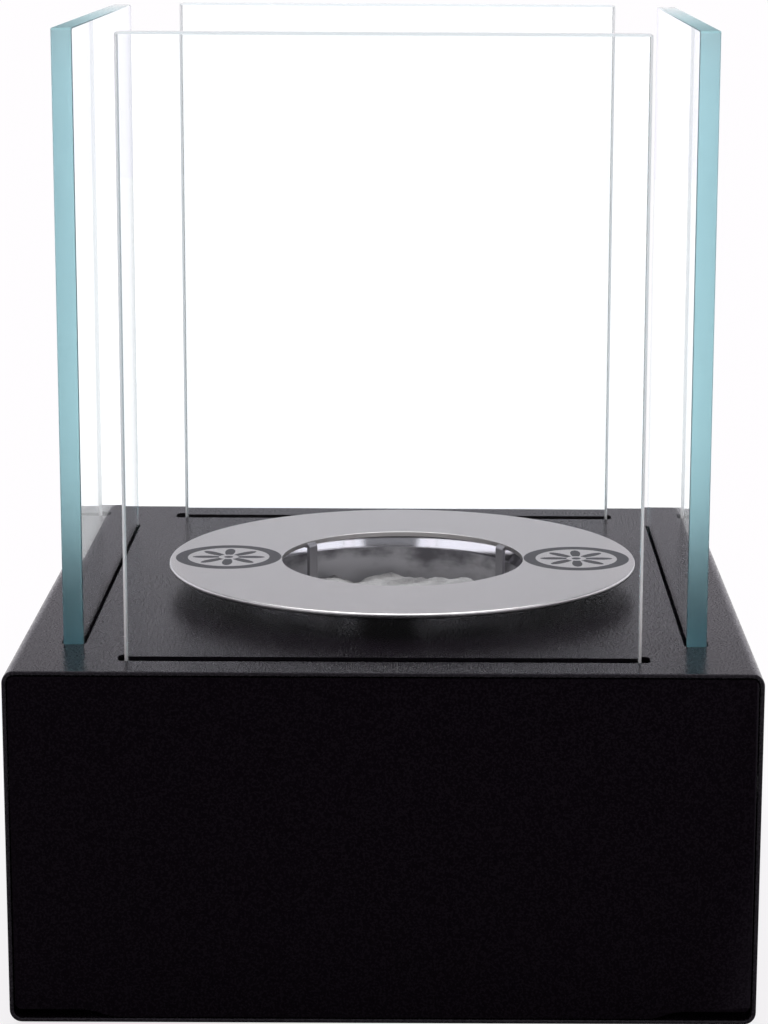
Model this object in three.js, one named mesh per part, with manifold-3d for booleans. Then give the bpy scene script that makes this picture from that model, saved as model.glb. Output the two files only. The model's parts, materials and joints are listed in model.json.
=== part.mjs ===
// Tabletop bioethanol fireplace: a black steel housing, four upright glass panes that lift out of
// slots in its top, and a stainless burner cup that lifts out of the middle with a loose flat ring on it.
//
// Lengths are millimetres. The origin is on the table under the middle of the housing, +X points to
// the right, +Y to the back and +Z up. The front of the housing looks towards -Y.

import * as THREE from 'three';
import { mergeVertices } from 'three/addons/utils/BufferGeometryUtils.js';
import Module from 'manifold-3d';

const wasm = await Module();
wasm.setup();

// ---- Driving dimensions ----

// Housing: a rolled sleeve of steel sheet, open at the front and back, with a folded panel in each end.
const WIDTH = 180;
const DEPTH = 190;
const SLEEVE_HEIGHT = 87.5;
const FOOT_HEIGHT = 2;
const SHEET = 1;
const SLEEVE_FOLD = 2; // inside radius of the sleeve's four long bends
const FIT_GAP = 0.3; // clearance all round parts that fit in one another

// Front and back panels
const PANEL_FOLD = 0.4; // inside radius of the folds round the face
const SIDE_FLANGE = 12;
const FLOOR_FLANGE = 14;
const ROOF_FLANGE_CLEARANCE = 0.8; // from the roof flange to the glass channel behind it
const NOTCH = 3.5; // square relief in each corner, where two flanges meet
const TOE_CUT = 20.7; // how far in from its sides the panel's lower edge is raised
const TOE_RUN = 5; // length of the curve from the low edge up to the raised ends
const TOE_RISE = 1.9;

// Glass
const GLASS_TOP = 238; // height of the panes' top edges over the table
const FRONT_SLOT_INSET = 13; // from the housing's front to the middle of the front slot
const SIDE_SLOT_INSET = 14; // from the housing's side to the middle of the side slot
const FRONT_CORNER_GAP = 11.75; // from an end of the front pane to the side pane's inner face
const SIDE_CORNER_GAP = 11; // from an end of the side pane to the front pane's inner face
const FRONT_SLOT_SPARE = 4; // how much longer the slot is than its pane
const SIDE_SLOT_SPARE = 2;
const FRONT_PANE_SHIFT = -0.25; // where along its slot the front pane stands, to the right
const BACK_PANE_SHIFT = 0.75;
const PANE = 5; // glass thickness
const PANE_CLEARANCE = 0.5; // on each side of a pane, in its slot
const PANE_ARRIS = 0.6; // ground chamfer along every edge
const PANE_CORNER = 1.5;
const CHANNEL_DEPTH = 19; // inside, from the underside of the top down
const CHANNEL_FLANGE = 3.5;
const SEAT_HEIGHT = 1.5;

// Burner
const CUP_OUTER = 37.2;
const CUP_WALL = 0.8;
const CUP_ABOVE_TOP = 5.1; // how far the cup's rim stands over the housing's top
const CUP_FLARE = 0.9; // widening of the bright collar at the cup's mouth
const CUP_COLLAR = 4; // height of that collar
const CUP_FOOT_ROUND = 2;
const CUP_CLEARANCE = 0.9; // round the cup's mouth, in the hole in the top
const GUIDE_HEIGHT = 10;
const GUIDE_FLANGE = 7;
const RING_OUTER = 61.7;
const RING_PLAY = 4.4; // from the ring's opening to the cup's wall
const RING_THICKNESS = 1.3;
const RING_EDGE = 0.3;
const RING_SHIFT = 3.45; // the loose ring lies this far to the right of the cup's middle
const LEG_WIDTH = 3.3;
const LEG_THICKNESS = 1;
const LEG_LENGTH = 10;
const LEG_ROOT = 0.6; // how far the legs run into the ring's metal
const LEG_CLEARANCE = 0.6; // from the legs' ends to the wool
const LEG_ANGLES = [33, 142, 213, 322]; // degrees round the ring from +X
const WOOL_EDGE = 1; // chamfer round the wool's top

// Cradle: a hat-shaped bridge on the housing's floor that carries the cup
const CRADLE_HEIGHT = 12;
const CRADLE_HOLE = 24; // radius of the hole in its platform
const CRADLE_SIDE = 11; // from that hole to the platform's sides
const CRADLE_END = 8; // from that hole to its ends
const CRADLE_FLANGE = 13;
const CRADLE_SCREW_INSET = 10; // from its ends

// Fasteners and feet
const SCREW_RADIUS = 1.5;
const SCREW_HEAD_RADIUS = 2.8;
const HEAD_ROUND = 0.8; // how far the heads' flats stay in from their edges
const HEAD_SIDE = 0.5; // height of the heads' straight sides
const HEAD_CLEARANCE = 0.7; // from the heads to the table
const SCREW_END = 1.3; // how far a screw stands out of a panel's nut
const SCREW_SLOT_WIDTH = 0.8;
const SCREW_SLOT_DEPTH = 0.6;
const NUT_ACROSS_FLATS = 5.5;
const NUT_HEIGHT = 2.4;
const PANEL_SCREW_FROM_TOE = 22; // from where the panel's lower edge starts to rise
const PANEL_SCREW_INSET = 5.5; // from the end of the floor flange
const FOOT_RADIUS = 8;
const FOOT_EDGE = 0.4;
const FOOT_SIDE_INSET = 18; // from the housing's sides to the feet's middles
const FOOT_END_INSET = 25; // from its front and back

// ---- Worked out from them ----

const SLEEVE_TOP = FOOT_HEIGHT + SLEEVE_HEIGHT;
const SLEEVE_BEND = SLEEVE_FOLD + SHEET;
const ROOF_UNDER = SLEEVE_TOP - SHEET;
const FLOOR = FOOT_HEIGHT + SHEET;

const FRONT_PANE = WIDTH - 2 * (SIDE_SLOT_INSET + PANE / 2 + FRONT_CORNER_GAP);
const SIDE_PANE = DEPTH - 2 * (FRONT_SLOT_INSET + PANE / 2 + SIDE_CORNER_GAP);
const SLOT_WIDTH = PANE + 2 * PANE_CLEARANCE;
const SEAT_WIDTH = SLOT_WIDTH - 2 * FIT_GAP;
const CHANNEL_FLOOR = ROOF_UNDER - CHANNEL_DEPTH;
const CHANNEL_HALF = SLOT_WIDTH / 2 + SHEET + CHANNEL_FLANGE;
const PANE_BOTTOM = CHANNEL_FLOOR + SEAT_HEIGHT;

const PANEL_BEND = PANEL_FOLD + SHEET;
const PANEL_WIDTH = WIDTH - 2 * (SHEET + FIT_GAP);
const PANEL_BOTTOM = FLOOR + FIT_GAP;
const PANEL_HEIGHT = ROOF_UNDER - FIT_GAP - PANEL_BOTTOM;
const PANEL_FACE = DEPTH / 2 - FIT_GAP;
const ROOF_FLANGE = FRONT_SLOT_INSET - CHANNEL_HALF - FIT_GAP - ROOF_FLANGE_CLEARANCE;
const TOE_HALF = PANEL_WIDTH / 2 - TOE_CUT;

const CRADLE_TOP = FLOOR + CRADLE_HEIGHT;
const CRADLE_HALF = CRADLE_HOLE + CRADLE_SIDE;
const CRADLE_LENGTH = 2 * (CRADLE_HOLE + CRADLE_END);
const CUP_TOP = SLEEVE_TOP + CUP_ABOVE_TOP;
const CUP_INNER = CUP_OUTER - CUP_WALL;
const HOLE_RADIUS = CUP_OUTER + CUP_FLARE + CUP_CLEARANCE;
const RING_INNER = CUP_INNER - RING_PLAY;
const WOOL_RADIUS = CUP_INNER - FIT_GAP;
const WOOL_TOP = CUP_TOP - LEG_LENGTH - LEG_CLEARANCE;

const SCREW_HOLE = SCREW_RADIUS + FIT_GAP;
const SCREW_TIP = PANEL_BOTTOM + SHEET + NUT_HEIGHT + SCREW_END;
const PANEL_SCREW_X = TOE_HALF - PANEL_SCREW_FROM_TOE;
const PANEL_SCREW_DEPTH = FLOOR_FLANGE - PANEL_SCREW_INSET;
const CRADLE_SCREW_X = CRADLE_HALF + CRADLE_FLANGE / 2;
const CRADLE_SCREW_Y = CRADLE_LENGTH / 2 - CRADLE_SCREW_INSET;
const FOOT_X = WIDTH / 2 - FOOT_SIDE_INSET;
const FOOT_Y = DEPTH / 2 - FOOT_END_INSET;

// One entry per pane. "out" is from the housing's middle to the middle of the slot, "turn" puts the slot
// on its side of the housing, and "shift" is where along the slot the pane stands.
const frontSlot = {
  out: DEPTH / 2 - FRONT_SLOT_INSET, slot: FRONT_PANE + FRONT_SLOT_SPARE, pane: FRONT_PANE,
};
const sideSlot = {
  out: WIDTH / 2 - SIDE_SLOT_INSET, slot: SIDE_PANE + SIDE_SLOT_SPARE, pane: SIDE_PANE, shift: 0,
};
const SIDES = [
  { ...frontSlot, name: 'front', turn: 0, shift: FRONT_PANE_SHIFT },
  { ...sideSlot, name: 'right', turn: 90 },
  { ...frontSlot, name: 'back', turn: 180, shift: -BACK_PANE_SHIFT },
  { ...sideSlot, name: 'left', turn: 270 },
];

const OVERCUT = 1; // how far a cutter runs past what it cuts
const ROUND = 48; // sides of a large circle
const SMALL_ROUND = 16; // sides of a small one
const RING_ROUND = 72; // sides of the burner ring

// ---- Materials ----

const finish = (color, roughness, metalness, extra = {}) => () =>
  new THREE.MeshStandardMaterial({ color, roughness, metalness, ...extra });

const blackPowderCoat = finish(0x17161a, 0.62, 0.0);
const zincSteel = finish(0x8e9196, 0.4, 0.9);
const brushedSteel = finish(0xb4b3b6, 0.32, 1.0);
const polishedSteel = finish(0xc9cacd, 0.12, 1.0);
const clearGlass = finish(0xa6ccd0, 0.04, 0.0, { transparent: true, opacity: 0.35 });
const whiteSilicone = finish(0xd8d8d4, 0.7, 0.0);
const blackRubber = finish(0x1b1b1c, 0.85, 0.0);
const ceramicWool = finish(0xd9d7d3, 0.95, 0.0);

// ---- Solids ----

/** A closed geometry as a solid that can be joined and cut. */
function solidOf(geometry) {
  const bare = geometry.clone();
  bare.deleteAttribute('normal');
  bare.deleteAttribute('uv');
  const merged = mergeVertices(bare, 1e-5);
  return new wasm.Manifold(new wasm.Mesh({
    numProp: 3,
    vertProperties: merged.attributes.position.array,
    triVerts: Uint32Array.from(merged.index.array),
  }));
}

/** The solid back as a geometry, with flat shading. */
function geometryOf(solid) {
  const mesh = solid.getMesh();
  const indexed = new THREE.BufferGeometry();
  indexed.setAttribute('position', new THREE.BufferAttribute(Float32Array.from(mesh.vertProperties), 3));
  indexed.setIndex(new THREE.BufferAttribute(Uint32Array.from(mesh.triVerts), 1));
  const flat = indexed.toNonIndexed();
  flat.computeVertexNormals();
  return flat;
}

/** The body less each of the cutters. */
function cut(body, cutters) {
  return geometryOf(cutters.reduce((left, cutter) => left.subtract(solidOf(cutter)), solidOf(body)));
}

/** A rectangle with round corners, centred on (x, y). */
function roundedRectangle(width, height, radius, x = 0, y = 0) {
  const [left, right] = [x - width / 2, x + width / 2];
  const [low, high] = [y - height / 2, y + height / 2];
  const shape = new THREE.Shape();
  shape.moveTo(left + radius, low);
  shape.lineTo(right - radius, low);
  shape.absarc(right - radius, low + radius, radius, -Math.PI / 2, 0, false);
  shape.lineTo(right, high - radius);
  shape.absarc(right - radius, high - radius, radius, 0, Math.PI / 2, false);
  shape.lineTo(left + radius, high);
  shape.absarc(left + radius, high - radius, radius, Math.PI / 2, Math.PI, false);
  shape.lineTo(left, low + radius);
  shape.absarc(left + radius, low + radius, radius, Math.PI, 1.5 * Math.PI, false);
  return shape;
}

/** A shape through the given points. */
const outline = (points) => new THREE.Shape(points.map(([x, y]) => new THREE.Vector2(x, y)));

/** A straight prism over a shape in the XY plane, from z = low to z = high. */
function prism(shape, low, high, curveSegments = 6) {
  const options = { depth: high - low, bevelEnabled: false, curveSegments };
  return new THREE.ExtrudeGeometry(shape, options).translate(0, 0, low);
}

/** A prism over a shape in the XZ plane, from y = near to y = far. */
function prismAlongY(shape, near, far, curveSegments = 6) {
  return prism(shape, -far, -near, curveSegments).rotateX(Math.PI / 2);
}

/** A prism over a shape drawn in Y and Z, from x = low to x = high. */
function prismAlongX(shape, low, high) {
  return prism(shape, low, high).rotateX(Math.PI / 2).rotateZ(Math.PI / 2);
}

/** A box between two corners. */
function box([x0, y0, z0], [x1, y1, z1]) {
  return new THREE.BoxGeometry(x1 - x0, y1 - y0, z1 - z0)
    .translate((x0 + x1) / 2, (y0 + y1) / 2, (z0 + z1) / 2);
}

/** A round bar about a vertical line, for cutting holes. */
function bar(radius, low, high, x = 0, y = 0, sides = SMALL_ROUND) {
  return new THREE.CylinderGeometry(radius, radius, high - low, sides)
    .rotateX(Math.PI / 2)
    .translate(x, y, (low + high) / 2);
}

/** A solid of revolution about the Z axis, from [radius, height] points that go round its section. */
function turned(points, sides = ROUND) {
  const section = points.map(([radius, height]) => new THREE.Vector2(radius, height));
  return new THREE.LatheGeometry(section, sides).rotateX(Math.PI / 2);
}

// ---- Housing ----

/** The slot for one pane, as a cutter through the top. */
function slotCutter({ out, turn, slot }) {
  const shape = roundedRectangle(slot, SLOT_WIDTH, PANE_CORNER, 0, -out);
  return prism(shape, ROOF_UNDER - OVERCUT, SLEEVE_TOP + OVERCUT, 3)
    .rotateZ(THREE.MathUtils.degToRad(turn));
}

/** Where the screws through the floor stand: the panels' four and the cradle's four. */
const panelScrews = [-1, 1].flatMap((side) => [-1, 1].map((end) => ({
  name: `${end < 0 ? 'front' : 'back'}_${side < 0 ? 'left' : 'right'}`,
  x: side * PANEL_SCREW_X,
  y: end * (PANEL_FACE - PANEL_SCREW_DEPTH),
})));
const cradleScrews = [-1, 1].flatMap((side) => [-1, 1].map((end) => ({
  name: `${end < 0 ? 'front' : 'back'}_${side < 0 ? 'left' : 'right'}`,
  x: side * CRADLE_SCREW_X,
  y: end * CRADLE_SCREW_Y,
})));

/** The sleeve: top, sides and floor in one sheet, closed by a weld under the floor. */
function sleeveGeometry() {
  const middle = FOOT_HEIGHT + SLEEVE_HEIGHT / 2;
  const section = roundedRectangle(WIDTH, SLEEVE_HEIGHT, SLEEVE_BEND, 0, middle);
  const inside = roundedRectangle(
    WIDTH - 2 * SHEET, SLEEVE_HEIGHT - 2 * SHEET, SLEEVE_FOLD, 0, middle);
  section.holes.push(inside);
  const tube = prismAlongY(section, -DEPTH / 2, DEPTH / 2, 5);
  const hole = bar(HOLE_RADIUS, ROOF_UNDER - OVERCUT, SLEEVE_TOP + OVERCUT, 0, 0, ROUND);
  const screwHoles = [...panelScrews, ...cradleScrews].map(({ x, y }) =>
    bar(SCREW_HOLE, FOOT_HEIGHT - OVERCUT, FLOOR + OVERCUT, x, y));
  return cut(tube, [hole, ...SIDES.map(slotCutter), ...screwHoles]);
}

/** A block with the panel's outline, less `inset` all round, rounded where it meets the face. */
function panelBlock(inset, face, back) {
  const bend = PANEL_BEND - inset;
  const shape = roundedRectangle(
    PANEL_WIDTH - 2 * inset, PANEL_HEIGHT - 2 * inset, PANEL_BEND + FIT_GAP - inset,
    0, PANEL_BOTTOM + PANEL_HEIGHT / 2);
  const options = {
    depth: back - face,
    bevelThickness: bend,
    bevelSize: bend,
    bevelOffset: -bend,
    bevelSegments: 3,
    curveSegments: 3,
  };
  return new THREE.ExtrudeGeometry(shape, options)
    .translate(0, 0, -back)
    .rotateX(Math.PI / 2)
    .translate(0, bend, 0);
}

/** One raised end of the panel's lower edge, as a cutter. `side` is -1 on the left and 1 on the right. */
function toeCutter(side) {
  const low = PANEL_BOTTOM - OVERCUT;
  const high = PANEL_BOTTOM + TOE_RISE;
  const end = PANEL_WIDTH / 2 + OVERCUT;
  const start = TOE_HALF - TOE_RUN / 2;
  const stop = TOE_HALF + TOE_RUN / 2;
  const shape = new THREE.Shape();
  shape.moveTo(side * end, low);
  shape.lineTo(side * end, high);
  shape.lineTo(side * stop, high);
  shape.bezierCurveTo(
    side * TOE_HALF, high, side * TOE_HALF, PANEL_BOTTOM, side * start, PANEL_BOTTOM - FIT_GAP);
  shape.lineTo(side * start, low);
  return prismAlongY(shape, -OVERCUT, FLOOR_FLANGE + OVERCUT);
}

/** The front panel: a face with flanges folded back on all four sides. It is used again at the back. */
function panelGeometry() {
  const half = PANEL_WIDTH / 2;
  const top = PANEL_BOTTOM + PANEL_HEIGHT;
  const deep = FLOOR_FLANGE + PANEL_BEND + OVERCUT;
  const hollow = panelBlock(SHEET, SHEET, deep);
  const past = deep + 2 * PANEL_BEND + OVERCUT;
  const wide = half + OVERCUT;
  const trims = [
    // each flange to its own depth
    box([-wide, FLOOR_FLANGE, PANEL_BOTTOM - OVERCUT], [wide, past, top + OVERCUT]),
    box([-wide, SIDE_FLANGE, PANEL_BOTTOM + NOTCH], [wide, past, top + OVERCUT]),
    box([-half + NOTCH, ROOF_FLANGE, top - NOTCH], [half - NOTCH, past, top + OVERCUT]),
  ];
  const notches = [-1, 1].flatMap((side) => [PANEL_BOTTOM, top].map((height) => {
    const [x, z] = [side * half, height];
    return box([x - NOTCH, PANEL_BEND, z - NOTCH], [x + NOTCH, deep, z + NOTCH]);
  }));
  const screwHoles = [-1, 1].map((side) =>
    bar(SCREW_HOLE, PANEL_BOTTOM - OVERCUT, PANEL_BOTTOM + SHEET + OVERCUT,
      side * PANEL_SCREW_X, PANEL_SCREW_DEPTH));
  const cutters = [hollow, ...trims, ...notches, toeCutter(-1), toeCutter(1), ...screwHoles];
  return cut(panelBlock(0, 0, deep), cutters);
}

// ---- Glass, channels and seats, drawn for the front and turned round to each side ----

/** A pane with ground edges, standing across Y. */
function paneGeometry({ pane, shift }) {
  const height = GLASS_TOP - PANE_BOTTOM;
  const shape = roundedRectangle(pane, height, PANE_CORNER, shift, PANE_BOTTOM + height / 2);
  const options = {
    depth: PANE - 2 * PANE_ARRIS,
    bevelThickness: PANE_ARRIS,
    bevelSize: PANE_ARRIS,
    bevelOffset: -PANE_ARRIS,
    bevelSegments: 1,
    curveSegments: 3,
  };
  return new THREE.ExtrudeGeometry(shape, options)
    .translate(0, 0, PANE_ARRIS - PANE / 2)
    .rotateX(Math.PI / 2);
}

/** The folded channel under a slot: a U with a flange on each side, welded to the top's underside. */
function channelGeometry({ slot }) {
  const inner = SLOT_WIDTH / 2;
  const outer = inner + SHEET;
  const edge = outer + CHANNEL_FLANGE;
  const right = [
    [inner, CHANNEL_FLOOR], [inner, ROOF_UNDER], [edge, ROOF_UNDER], [edge, ROOF_UNDER - SHEET],
    [outer, ROOF_UNDER - SHEET], [outer, CHANNEL_FLOOR - SHEET],
  ];
  const left = right.map(([y, z]) => [-y, z]).reverse();
  return prismAlongX(outline([...right, ...left]), -slot / 2, slot / 2);
}

/** The silicone strip in the bottom of a channel, which a pane stands on. */
function seatGeometry({ pane, shift }) {
  const half = SEAT_WIDTH / 2;
  return box([shift - pane / 2, -half, CHANNEL_FLOOR], [shift + pane / 2, half, PANE_BOTTOM]);
}

// ---- Burner ----

/** The cup: an open can with a rounded foot and a slightly flared, bright collar at its mouth. */
function cupGeometry() {
  const collar = CUP_TOP - CUP_COLLAR;
  const foot = CRADLE_TOP + CUP_FOOT_ROUND;
  const step = CUP_FOOT_ROUND * (1 - Math.SQRT1_2);
  return turned([
    [0, CRADLE_TOP],
    [CUP_OUTER - CUP_FOOT_ROUND, CRADLE_TOP],
    [CUP_OUTER - step, CRADLE_TOP + step],
    [CUP_OUTER, foot],
    [CUP_OUTER, collar],
    [CUP_OUTER + CUP_FLARE, CUP_TOP - CUP_WALL / 2],
    [CUP_OUTER + CUP_FLARE - CUP_WALL / 2, CUP_TOP],
    [CUP_INNER + CUP_FLARE, CUP_TOP],
    [CUP_INNER, collar],
    [CUP_INNER, foot],
    [CUP_INNER - step, CRADLE_TOP + CUP_WALL + step],
    [CUP_INNER - CUP_FOOT_ROUND, CRADLE_TOP + CUP_WALL],
    [0, CRADLE_TOP + CUP_WALL],
  ]);
}

/** The ceramic wool that fills the cup and soaks up the fuel. */
function woolGeometry() {
  const bottom = CRADLE_TOP + CUP_WALL + FIT_GAP;
  return turned([
    [0, bottom],
    [WOOL_RADIUS - CUP_FOOT_ROUND, bottom],
    [WOOL_RADIUS, bottom + CUP_FOOT_ROUND],
    [WOOL_RADIUS, WOOL_TOP - WOOL_EDGE],
    [WOOL_RADIUS - WOOL_EDGE, WOOL_TOP],
    [0, WOOL_TOP],
  ]);
}

/** The loose ring on the cup, with four legs folded down inside its opening. */
function ringGeometry() {
  const top = CUP_TOP + RING_THICKNESS;
  const disc = turned([
    [RING_INNER, CUP_TOP + RING_EDGE],
    [RING_INNER + RING_EDGE, CUP_TOP],
    [RING_OUTER - RING_EDGE, CUP_TOP],
    [RING_OUTER, CUP_TOP + RING_EDGE],
    [RING_OUTER, top - RING_EDGE],
    [RING_OUTER - RING_EDGE, top],
    [RING_INNER + RING_EDGE, top],
    [RING_INNER, top - RING_EDGE],
    [RING_INNER, CUP_TOP + RING_EDGE],
  ], RING_ROUND);
  const reach = Math.sqrt(RING_INNER ** 2 - (LEG_WIDTH / 2) ** 2);
  const legs = LEG_ANGLES.map((angle) =>
    box(
      [reach - LEG_THICKNESS, -LEG_WIDTH / 2, CUP_TOP - LEG_LENGTH],
      [reach + LEG_ROOT, LEG_WIDTH / 2, top - RING_EDGE],
    ).rotateZ(THREE.MathUtils.degToRad(angle)));
  const whole = legs.reduce((joined, leg) => joined.add(solidOf(leg)), solidOf(disc));
  return geometryOf(whole).translate(RING_SHIFT, 0, 0);
}

/** A flanged collar under the hole in the top, which guides the cup. */
function guideGeometry() {
  const low = ROOF_UNDER - GUIDE_HEIGHT;
  const outer = HOLE_RADIUS + SHEET;
  return turned([
    [HOLE_RADIUS, low],
    [outer, low],
    [outer, ROOF_UNDER - SHEET],
    [outer + GUIDE_FLANGE, ROOF_UNDER - SHEET],
    [outer + GUIDE_FLANGE, ROOF_UNDER],
    [HOLE_RADIUS, ROOF_UNDER],
    [HOLE_RADIUS, low],
  ]);
}

/** The bridge on the floor under the cup, with a large hole in its platform. */
function cradleGeometry() {
  const foot = CRADLE_HALF + CRADLE_FLANGE;
  const right = [
    [CRADLE_HALF - SHEET, FLOOR], [foot, FLOOR], [foot, FLOOR + SHEET],
    [CRADLE_HALF, FLOOR + SHEET], [CRADLE_HALF, CRADLE_TOP],
  ];
  const under = [CRADLE_HALF - SHEET, CRADLE_TOP - SHEET];
  const left = right.map(([x, z]) => [-x, z]).reverse();
  const section = outline([...right, ...left, [-under[0], under[1]], under]);
  const bridge = prismAlongY(section, -CRADLE_LENGTH / 2, CRADLE_LENGTH / 2);
  const airHole = bar(CRADLE_HOLE, CRADLE_TOP - SHEET - OVERCUT, CRADLE_TOP + OVERCUT, 0, 0, ROUND);
  const screwHoles = cradleScrews.map(({ x, y }) =>
    bar(SCREW_HOLE, FLOOR - OVERCUT, FLOOR + SHEET + OVERCUT, x, y));
  return cut(bridge, [airHole, ...screwHoles]);
}

// ---- Fasteners and feet ----

/** A slotted pan-head screw, put in from below: its head sits under the floor. */
function screwGeometry() {
  const under = HEAD_CLEARANCE;
  const screw = turned([
    [0, under],
    [SCREW_HEAD_RADIUS - HEAD_ROUND, under],
    [SCREW_HEAD_RADIUS, FOOT_HEIGHT - HEAD_SIDE],
    [SCREW_HEAD_RADIUS, FOOT_HEIGHT],
    [SCREW_RADIUS, FOOT_HEIGHT],
    [SCREW_RADIUS, SCREW_TIP - SCREW_RADIUS / 2],
    [SCREW_RADIUS / 2, SCREW_TIP],
    [0, SCREW_TIP],
  ], SMALL_ROUND);
  const slot = box(
    [-SCREW_SLOT_WIDTH / 2, -SCREW_HEAD_RADIUS, under - OVERCUT],
    [SCREW_SLOT_WIDTH / 2, SCREW_HEAD_RADIUS, under + SCREW_SLOT_DEPTH]);
  return cut(screw, [slot]);
}

/** A hexagon nut that stands on z = 0. */
function nutGeometry() {
  const across = NUT_ACROSS_FLATS / Math.sqrt(3);
  const hexagon = outline(Array.from({ length: 6 }, (_, corner) => {
    const angle = (corner * Math.PI) / 3;
    return [across * Math.cos(angle), across * Math.sin(angle)];
  }));
  hexagon.holes.push(new THREE.Path().absarc(0, 0, SCREW_HOLE, 0, 2 * Math.PI, true));
  return prism(hexagon, 0, NUT_HEIGHT, SMALL_ROUND);
}

/** A round rubber foot stuck under the floor. */
function footGeometry() {
  return turned([
    [0, 0],
    [FOOT_RADIUS - FOOT_EDGE, 0],
    [FOOT_RADIUS, FOOT_EDGE],
    [FOOT_RADIUS, FOOT_HEIGHT],
    [0, FOOT_HEIGHT],
  ], SMALL_ROUND);
}

// ---- Assembly ----

/** A named piece with a material of its own. */
function piece(name, geometry, material) {
  const mesh = new THREE.Mesh(geometry, material());
  mesh.name = name;
  return mesh;
}

const housing = new THREE.Group();
housing.add(piece('outer_sleeve', sleeveGeometry(), blackPowderCoat));

const frontPanel = piece('front_panel', panelGeometry(), blackPowderCoat);
frontPanel.position.y = -PANEL_FACE;
const backPanel = piece('back_panel', panelGeometry(), blackPowderCoat);
backPanel.position.y = PANEL_FACE;
backPanel.rotation.z = Math.PI;
housing.add(frontPanel, backPanel);

housing.add(piece('burner_cradle', cradleGeometry(), zincSteel));
housing.add(piece('cup_guide_collar', guideGeometry(), blackPowderCoat));

/** Screws and their nuts, with the nuts standing on the sheet at `seat`. */
function addFasteners(group, label, places, seat) {
  for (const { name, x, y } of places) {
    const screw = piece(`${label}_screw_${name}`, screwGeometry(), zincSteel);
    const nut = piece(`${label}_nut_${name}`, nutGeometry(), zincSteel);
    screw.position.set(x, y, 0);
    nut.position.set(x, y, seat);
    group.add(screw, nut);
  }
}
addFasteners(housing, 'panel', panelScrews, PANEL_BOTTOM + SHEET);
addFasteners(housing, 'cradle', cradleScrews, FLOOR + SHEET);

for (const end of [-1, 1]) {
  for (const side of [-1, 1]) {
    const name = `foot_${end < 0 ? 'front' : 'back'}_${side < 0 ? 'left' : 'right'}`;
    const foot = piece(name, footGeometry(), blackRubber);
    foot.position.set(side * FOOT_X, end * FOOT_Y, 0);
    housing.add(foot);
  }
}

const glass = new THREE.Group();
for (const side of SIDES) {
  const turn = new THREE.Group();
  turn.rotation.z = THREE.MathUtils.degToRad(side.turn);
  const stand = new THREE.Group();
  stand.position.y = -side.out;
  stand.add(
    piece(`glass_${side.name}`, paneGeometry(side), clearGlass),
    piece(`glass_channel_${side.name}`, channelGeometry(side), blackPowderCoat),
    piece(`seat_strip_${side.name}`, seatGeometry(side), whiteSilicone),
  );
  turn.add(stand);
  glass.add(turn);
}

const burner = new THREE.Group();
burner.add(
  piece('burner_cup', cupGeometry(), polishedSteel),
  piece('ceramic_wool', woolGeometry(), ceramicWool),
  piece('burner_ring', ringGeometry(), brushedSteel),
);

const group = new THREE.Group();
group.name = 'tabletop_ethanol_fireplace';
group.add(housing, glass, burner);

export default group;
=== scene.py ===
"""Tabletop bioethanol fireplace: the looks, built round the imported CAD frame.

Every length is in metres and every piece lies in the frame of the CAD model: origin on the table under
the middle of the housing, +X to the right, +Y to the back, +Z up, with the front towards -Y.
"""

from __future__ import annotations

import json
import logging
import math
from collections.abc import Iterable, Sequence
from dataclasses import dataclass
from enum import Enum
from typing import NamedTuple

import bmesh
import bpy
from mathutils import Matrix, Vector, noise

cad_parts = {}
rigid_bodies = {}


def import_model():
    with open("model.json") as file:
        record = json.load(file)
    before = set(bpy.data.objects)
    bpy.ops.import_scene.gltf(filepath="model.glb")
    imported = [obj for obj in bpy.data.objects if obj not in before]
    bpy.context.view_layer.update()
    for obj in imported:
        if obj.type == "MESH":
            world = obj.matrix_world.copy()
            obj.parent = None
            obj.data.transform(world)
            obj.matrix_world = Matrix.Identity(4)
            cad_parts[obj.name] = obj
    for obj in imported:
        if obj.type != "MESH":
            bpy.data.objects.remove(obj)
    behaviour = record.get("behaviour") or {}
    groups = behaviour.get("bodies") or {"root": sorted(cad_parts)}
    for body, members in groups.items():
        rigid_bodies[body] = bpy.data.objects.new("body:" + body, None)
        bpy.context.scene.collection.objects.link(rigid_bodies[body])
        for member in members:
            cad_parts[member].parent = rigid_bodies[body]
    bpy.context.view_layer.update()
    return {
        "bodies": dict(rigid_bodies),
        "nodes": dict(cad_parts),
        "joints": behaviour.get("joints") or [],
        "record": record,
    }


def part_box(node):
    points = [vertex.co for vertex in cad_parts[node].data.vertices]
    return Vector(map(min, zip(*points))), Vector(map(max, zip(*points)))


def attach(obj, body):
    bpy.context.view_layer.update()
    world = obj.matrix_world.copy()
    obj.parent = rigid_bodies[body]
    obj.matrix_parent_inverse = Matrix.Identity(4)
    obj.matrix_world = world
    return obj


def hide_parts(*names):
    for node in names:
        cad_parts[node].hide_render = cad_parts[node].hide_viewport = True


log = logging.getLogger("fireplace")

Colour = tuple[float, float, float]

MM = 0.001
TOUCHING = 1e-6  # places closer than this are one
QUARTER_TURN = math.pi / 2
AXIS_Y = Vector((0.0, 1.0, 0.0))
AXIS_Z = Vector((0.0, 0.0, 1.0))
SIDES = ("front", "right", "back", "left")
CORNERS = ("front_left", "back_left", "front_right", "back_right")
SCREWED = ("panel", "cradle")  # what the screws in the floor hold
WHITE = (1.0, 0.984, 1.0)  # the background's white
BLACK = (0.0, 0.0, 0.0)
THROUGH_GLASS = 1.25  # how much brighter the background is through panes, for what they take away
NOISE_ROUGHNESS = 0.55  # how strongly each finer layer of a noise shows


# ---- Shader maths ----


class Step(NamedTuple):
    """A smooth step from `start`, up to `low`, to `end`, past `high`. `high` may be the smaller."""

    low: float
    high: float
    start: float = 0.0
    end: float = 1.0


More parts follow.
